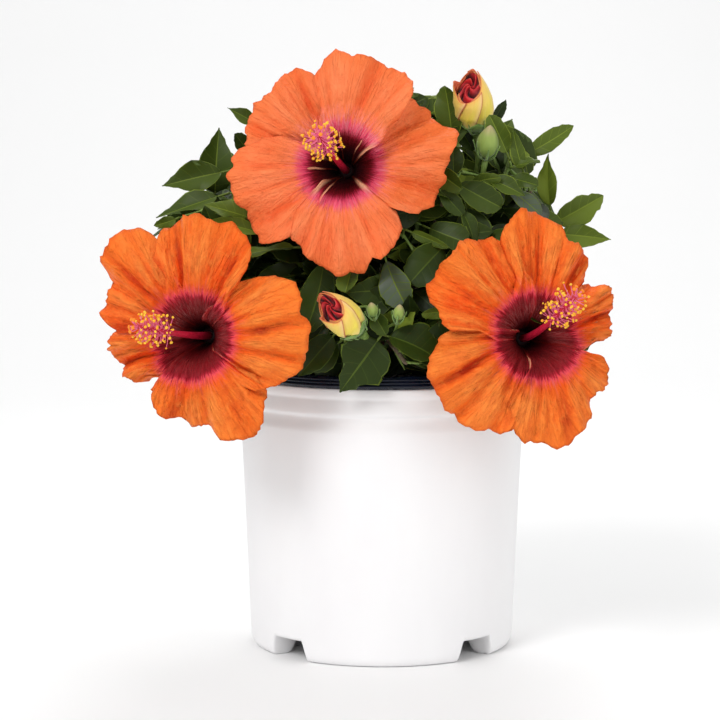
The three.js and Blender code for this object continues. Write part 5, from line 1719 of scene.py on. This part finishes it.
for name in MASSES:
    twigs[name] = [limb for limb in twigs[name] if not in_the_way(limb.samples)]
    shoots[name] = [limb for limb in shoots[name] if not in_the_way(limb.samples)]
    limbs, before = [mass_stems[name], *twigs[name], *shoots[name]], len(leaves[name])
    leaves[name] = [leaf for leaf in leaves[name] if leaf[5] in limbs and not in_the_way(leaf[4])]
    print(name, "keeps", len(leaves[name]), "of", before, "grown leaves")

# %% [markdown]
# ## Shoots that fill in behind
# The gaps that are left show bare twigs, where the real crown is closed. So every limb tries a few
# more short shoots with small leaves, and limbs that still carry nothing are taken away.

# %% Shoots that fill in behind
FILL_SHARES, FILL_LENGTHS, FILL_SCALE = (0.2, 0.45, 0.7, 0.95), (8, 17), (0.5, 0.8)
FILL_RADII, FILL_ROOM = (0.9, 0.7), (1.2, SHOOT_STRETCH, in_the_way)
BACK_MASSES = ("back_left", "back_right", "back_high")
for order, name in enumerate(MASSES):
    draw, place = seeded(510 + 13 * order), np.random.default_rng(700 + order)
    carriers, added = [mass_stems[name], *twigs[name], *shoots[name]], []
    for n, carrier in enumerate(carriers):
        places_on = FILL_SHARES[2::2] if n > len(twigs[name]) or name in BACK_MASSES else FILL_SHARES
        for share in places_on:
            start, along = carrier.at(share), carrier.tangent(share)
            for attempt in range(6):
                side = side_of(along, GOLDEN_TURN * (n + 5 * share) + 61 * attempt)
                end = start + unit(0.5 * along + 0.85 * side) * place.uniform(*FILL_LENGTHS)
                shoot = Limb(start, (start + end) / 2 + UP, end, FILL_RADII)
                if is_free(shoot.samples[5:], name, -1.4, SHOOT_STRETCH) and not in_the_way(shoot.samples):
                    added.append(shoot)
                    break
    for shoot in added:
        scale = place.uniform(*FILL_SCALE)
        leaves_on(shoot, name, [mass_stems[name]], 0.5, 3, leaves[name], draw, scale, FILL_ROOM)
    shoots[name] += added
print("shoots:", total(shoots), "leaves:", total(leaves))


def carries(limb, others, grown):
    """Whether a leaf or another limb grows on this one."""
    if any(leaf[5] is limb for leaf in grown):
        return True
    starts = [other.samples[0] for other in others if other is not limb]
    return any(np.linalg.norm(limb.samples - start, axis=1).min() < 2.5 for start in starts)


for name in MASSES:
    shoots[name] = [limb for limb in shoots[name] if carries(limb, shoots[name], leaves[name])]
    twigs[name] = [limb for limb in twigs[name] if carries(limb, twigs[name] + shoots[name], leaves[name])]
print("twigs that carry something:", total(twigs))
print("shoots that carry something:", total(shoots))

# %% Shoots for the leaves in full view
full_view = {name: [] for name in MASSES}
for foot, tip, face, *own in full_view_leaves:
    along, length = unit(tip - foot), np.linalg.norm(tip - foot) / (1 - PETIOLE_SHARE)
    root = tip - along * length
    name = min(hearts, key=lambda mass: np.linalg.norm(hearts[mass] - root))
    limbs = [mass_stems[name], *twigs[name], *shoots[name]]
    joints = np.concatenate([limb.samples[5:] for limb in limbs])
    start = joints[np.linalg.norm(joints - (root - 6 * along), axis=1).argmin()]
    shoots[name].append(Limb(start, root - 0.4 * np.linalg.norm(start - root) * along, root, (0.95, 0.6)))
    full_view[name].append((root, along, face, length, own))
print("masses with leaves in full view:", sum(map(bool, full_view.values())))

# %% [markdown]
# ## Leaves
# A hibiscus leaf is ovate and toothed, glossy and dark, with paler veins and a thin pale margin. The
# veins could be painted, but a texture for hundreds of small leaves would smear when it is unwrapped.
# So the rows of the blade's grid follow the side veins, thin strips of faces are the veins, the
# midrib and the margin, and each strip takes its own plain colour. There are two templates of shares
# along and across the blade, a finer one near the front and a plainer one behind.

# %% A leaf's template
LEFT_HALF, RIGHT_HALF, SIDE_VEIN, MIDRIB, MARGIN, UNDER = range(6)


class Template:
    """Shares along (rows) and across (columns) a blade, its faces, and the kind of each face. The
    underside has fewer points, as its veins don't show from a hand's breadth away."""

    def __init__(self, veins, vein_half, columns, under_columns):
        self.vein_at = [mix(0.11, 0.84, k / (veins - 1)) for k in range(veins)]
        rows, vein_rows = [0.0, 0.05], []
        for k, at in enumerate(self.vein_at):
            vein_rows.append(len(rows))
            ahead = self.vein_at[k + 1] if k < veins - 1 else 1
            rows += [at - vein_half, at + vein_half, (at + ahead) / 2]
        self.rows, self.columns = np.array(rows + [1.0])[:, None], np.array(columns)[None]
        self.under_columns = np.array([under_columns])
        high, wide = len(self.rows), len(columns)
        strip = np.tile(np.arange(wide - 1), high - 1)
        row_of = np.repeat(np.arange(high - 1), wide - 1)
        middle = (wide - 2) // 2
        kind = np.where(strip < middle, LEFT_HALF, RIGHT_HALF)
        kind = np.where(np.isin(row_of, vein_rows), SIDE_VEIN, kind)
        kind = np.where(strip == middle, MIDRIB, kind)
        kind = np.where(np.isin(strip, (0, wide - 2)), MARGIN, kind)
        upper = np.arange(high * wide).reshape(high, wide)
        below = len(under_columns)
        added = high * wide + np.arange(high * below).reshape(high, below)
        under = np.hstack([upper[:, :1], added, upper[:, -1:]])
        faces = grid_faces(high, wide).tolist()
        for this, beyond in zip(under[:-1], under[1:]):
            faces += [(this[j], beyond[j], beyond[j + 1], this[j + 1]) for j in range(below + 1)]
        faces += [(*upper[0, ::-1], *under[0, 1:-1]), (*upper[-1], *under[-1, -2:0:-1])]
        self.faces = [tuple(int(corner) for corner in face) for face in faces]
        self.kinds = np.concatenate([kind, np.full(len(faces) - len(kind), UNDER)])


fine_leaf = Template(5, 0.006, [-1, -0.95, -0.7, -0.36, -0.04, 0.04, 0.36, 0.7, 0.95, 1], [-0.5, 0, 0.5])
plain_leaf = Template(3, 0.008, [-1, -0.93, -0.5, -0.045, 0.045, 0.5, 0.93, 1], [0])
print("a leaf has", len(fine_leaf.faces), "faces near the front and", len(plain_leaf.faces), "behind")

# %% [markdown]
# ## Bending one leaf
# No two leaves hang alike: each droops, folds along its midrib, twists and waves by amounts of its own,
# drawn with a seed. Between two side veins the blade swells a little, which gives it its quilted gloss.

# %% Bending one leaf
BLADE_HALF = 0.26


def turned_to_light(root, along, face, length):
    """Leaves of the front half turn their faces part of the way to the front, as they do to a window."""
    turned = 0.75 * smoothstep(-(root[1] + 0.35 * length * along[1]), -45, 20)
    return mix(unit(face), TO_VIEWER, turned)


def leaf_mesh(template, root, along, face, length, draw, own=None):
    """Points of the blade, and the line of its petiole. own holds half the blade's width, how pointed
    and how lobed it is, for a leaf in full view."""
    side = unit(np.cross(along, face))
    normal = unit(np.cross(side, along))
    droop, fold, twist = draw.uniform(0.06, 0.26), draw.uniform(0.06, 0.55), draw.uniform(-0.7, 0.7)
    wave, phase = draw.uniform(0.02, 0.07) * length, draw.uniform(0, 6.28)
    half, bow = length * BLADE_HALF * draw.uniform(0.85, 1.2), draw.uniform(-0.12, 0.12)
    foot_power, tip_power = draw.uniform(0.55, 0.85), draw.uniform(0.45, 1.25)
    lobes = 0.1 if draw.random() < 0.35 else 0.03
    if own:
        half, tip_power, lobes = own
    lobe_phase = draw.uniform(-0.5, 0.5)
    first, step = template.vein_at[0], template.vein_at[1] - template.vein_at[0]
    widest_at = foot_power / (foot_power + tip_power)
    widest = widest_at**foot_power * (1 - widest_at) ** tip_power

    def bend(r, u, lift):
        s = r + 0.2 * np.abs(u) * np.sin(math.pi * r)
        width = np.maximum(s**foot_power * np.clip(1 - s, 0, 1) ** tip_power / widest, 0.03)
        tooth = 1 + 0.045 * np.cos(2 * math.pi * (r - first) / step) * smoothstep(r, 0.15, 0.45) * u**4
        lobe_zone = smoothstep(s, 0.3, 0.5) * (1 - smoothstep(s, 0.74, 0.9))
        tooth = tooth + lobes * np.cos(17 * s - 2.8 + lobe_phase + 0.3 * np.sign(u)) * lobe_zone * u**4
        share = PETIOLE_SHARE + (1 - PETIOLE_SHARE) * s
        roll = twist * s
        across = u * width * tooth * half
        rise = fold * np.abs(across) - 0.1 * fold * across**2 / half + lift
        between = np.abs(np.sin(math.pi * (r - first) / step))
        rise = rise + 0.34 * between * np.sin(math.pi * np.clip(np.abs(u), 0, 1)) * width * (lift == 0)
        rise = rise + wave * u**2 * np.sin(7 * s + phase + 1.2 * np.sign(u)) * width
        x = across * np.cos(roll) - rise * np.sin(roll) + bow * length * s * s
        z = across * np.sin(roll) + rise * np.cos(roll) - droop * length * share**2
        return root + along * (share * length)[..., None] + side * x[..., None] + normal * z[..., None]

    rows, columns, under_columns = template.rows, template.columns, template.under_columns
    upper = bend(rows + 0 * columns, columns + 0 * rows, 0)
    under = bend(rows + 0 * under_columns, under_columns + 0 * rows, -0.4)
    shares = np.linspace(0, PETIOLE_SHARE + 0.03, 4)[:, None]
    petiole = root + along * shares * length - normal * (droop * length * shares**2 + 0.3)
    return np.vstack([upper.reshape(-1, 3), under.reshape(-1, 3)]), petiole


# %% [markdown]
# ## Leaf tones
# Young leaves are a fresh yellow-green. One material with noise would make every leaf the same. So nine
# plain greens are dealt out by each leaf's height and depth in the crown, with a little chance: deep
# inside and low down a leaf is painted almost black, as painted shade, and high and outside it is
# painted paler, as painted light. Its veins, midrib and margin take paler ones of the nine, and one
# half of a folded leaf is often painted a tone lighter, as painted light.

# %% Leaf tones
# nine greens from the deepest shade to the palest young leaf, in even ratios, then the other parts
LEAF_DEEP, LEAF_PALE, PALEST = np.array((0.011, 0.021, 0.0022)), np.array((0.2, 0.265, 0.028)), 8
leaf_looks = {}
for k in range(PALEST + 1):
    leaf_looks[f"leaf_tone_{k}"] = (LEAF_DEEP * (LEAF_PALE / LEAF_DEEP) ** (k / PALEST), 0.45, 0.17)
# the waxy green's grey-blue is a painted sheen, over the real gloss of its roughness and specular
leaf_looks["leaf_waxy"] = ((0.052, 0.078, 0.036), 0.36, 0.6)
leaf_looks["leaf_under"] = ((0.085, 0.13, 0.03), 0.6, 0.2)
leaf_looks["leaf_stalk"] = ((0.13, 0.18, 0.03), 0.5, 0.2)
leaf_materials = []
for name, (color, roughness, gloss) in leaf_looks.items():
    leaf_materials.append(Finish(name, color, roughness, Specular_IOR_Level=gloss).material)
WAXY_SHEEN, UNDER_LOOK, STALK_LOOK = PALEST + 1, PALEST + 2, PALEST + 3
print("looks of a leaf:", len(leaf_materials))


def leaf_tints(kinds, tone, lighter_half):
    """The look of each face of a leaf. A folded leaf has one half that faces the light more, and that half is
    painted a tone lighter, as painted light.
    """
    if tone == WAXY_SHEEN:
        looks = {LEFT_HALF: WAXY_SHEEN, RIGHT_HALF: WAXY_SHEEN, SIDE_VEIN: 6, MIDRIB: 7, MARGIN: 7, UNDER: UNDER_LOOK}
    else:
        steps = {LEFT_HALF: lighter_half == 0, RIGHT_HALF: lighter_half == 1}
        steps.update({SIDE_VEIN: 1.5, MIDRIB: 3, MARGIN: 4})
        looks = {kind: min(int(tone + step), PALEST) for kind, step in steps.items()}
        looks[UNDER] = UNDER_LOOK
    return np.array([looks[kind] for kind in kinds])


def tone_with_painted_shade(root, along, length, draw):
    """Painted shade and light: dark inside and low down, bright outside and high up. A few leaves, most of
    them small, take a pale young green.
    """
    middle = root + along * length * 0.5
    outer = np.linalg.norm((middle - CROWN_CENTRE) / CROWN_REACH)
    if draw.random() < (0.08 if length < 34 else 0.02):
        return PALEST - 1
    return int(np.clip(draw.normal(5 * outer - 1.6 + (middle[2] - 235) / 32, 1.2), 0, PALEST - 1.6))


# %% Leaf pieces
FRONT, fine_count = -38, 0
for order, name in enumerate(MASSES):
    heap, draw = Heap(), np.random.default_rng(900 + order)
    for root, along, face, length, *own in leaves[name] + full_view[name]:
        if len(own) == 1:
            half, tone, pointed, lobed = own[0]
            template, own_shape = fine_leaf, (half, pointed, lobed)
        else:
            face, tone = turned_to_light(root, along, face, length), tone_with_painted_shade(root, along, length, draw)
            template, own_shape = (fine_leaf if root[1] < FRONT and length > 20 else plain_leaf), None
        fine_count += template is fine_leaf
        points, petiole = leaf_mesh(template, root, along, face, length, draw, own_shape)
        heap.add(points, template.faces, leaf_tints(template.kinds, tone, int(draw.integers(3))))
        heap.add(*tube(petiole, np.linspace(0.85, 0.6, len(petiole)), 4), STALK_LOOK)
    print(name, len(heap.faces), "faces")
    heap.piece(f"leaves_{name}", leaf_materials, slot="leaf", replaces=[f"foliage_{name}"])
print("leaves near the front:", fine_count)
print("leaves:", total(leaves), "and in full view:", total(full_view))

# %% Twigs and shoots
twig_heap = Heap()
for order, name in enumerate(MASSES):
    for k, limb in enumerate([mass_stems[name], *twigs[name], *shoots[name]]):
        woody = k <= len(twigs[name])
        shares = np.linspace(0, 1, 20 if woody else 6)
        radii = limb.radius(shares) * (1 + 0.35 * np.exp(-10 * shares)) * np.where(shares > 0.98, 0.3, 1)
        swell = bark_swell(7 * order + k, 5, 0.04)
        twig_heap.add(*tube(limb.at(shares), radii, 8 if woody else 4, swell), 1 - woody)
masses = [f"foliage_{name}" for name in MASSES]
twig_heap.piece("twigs_and_shoots", [bark.material, stalk_green.material], slot="bark", replaces=masses)
print("twigs:", len(twig_heap.faces), "faces")
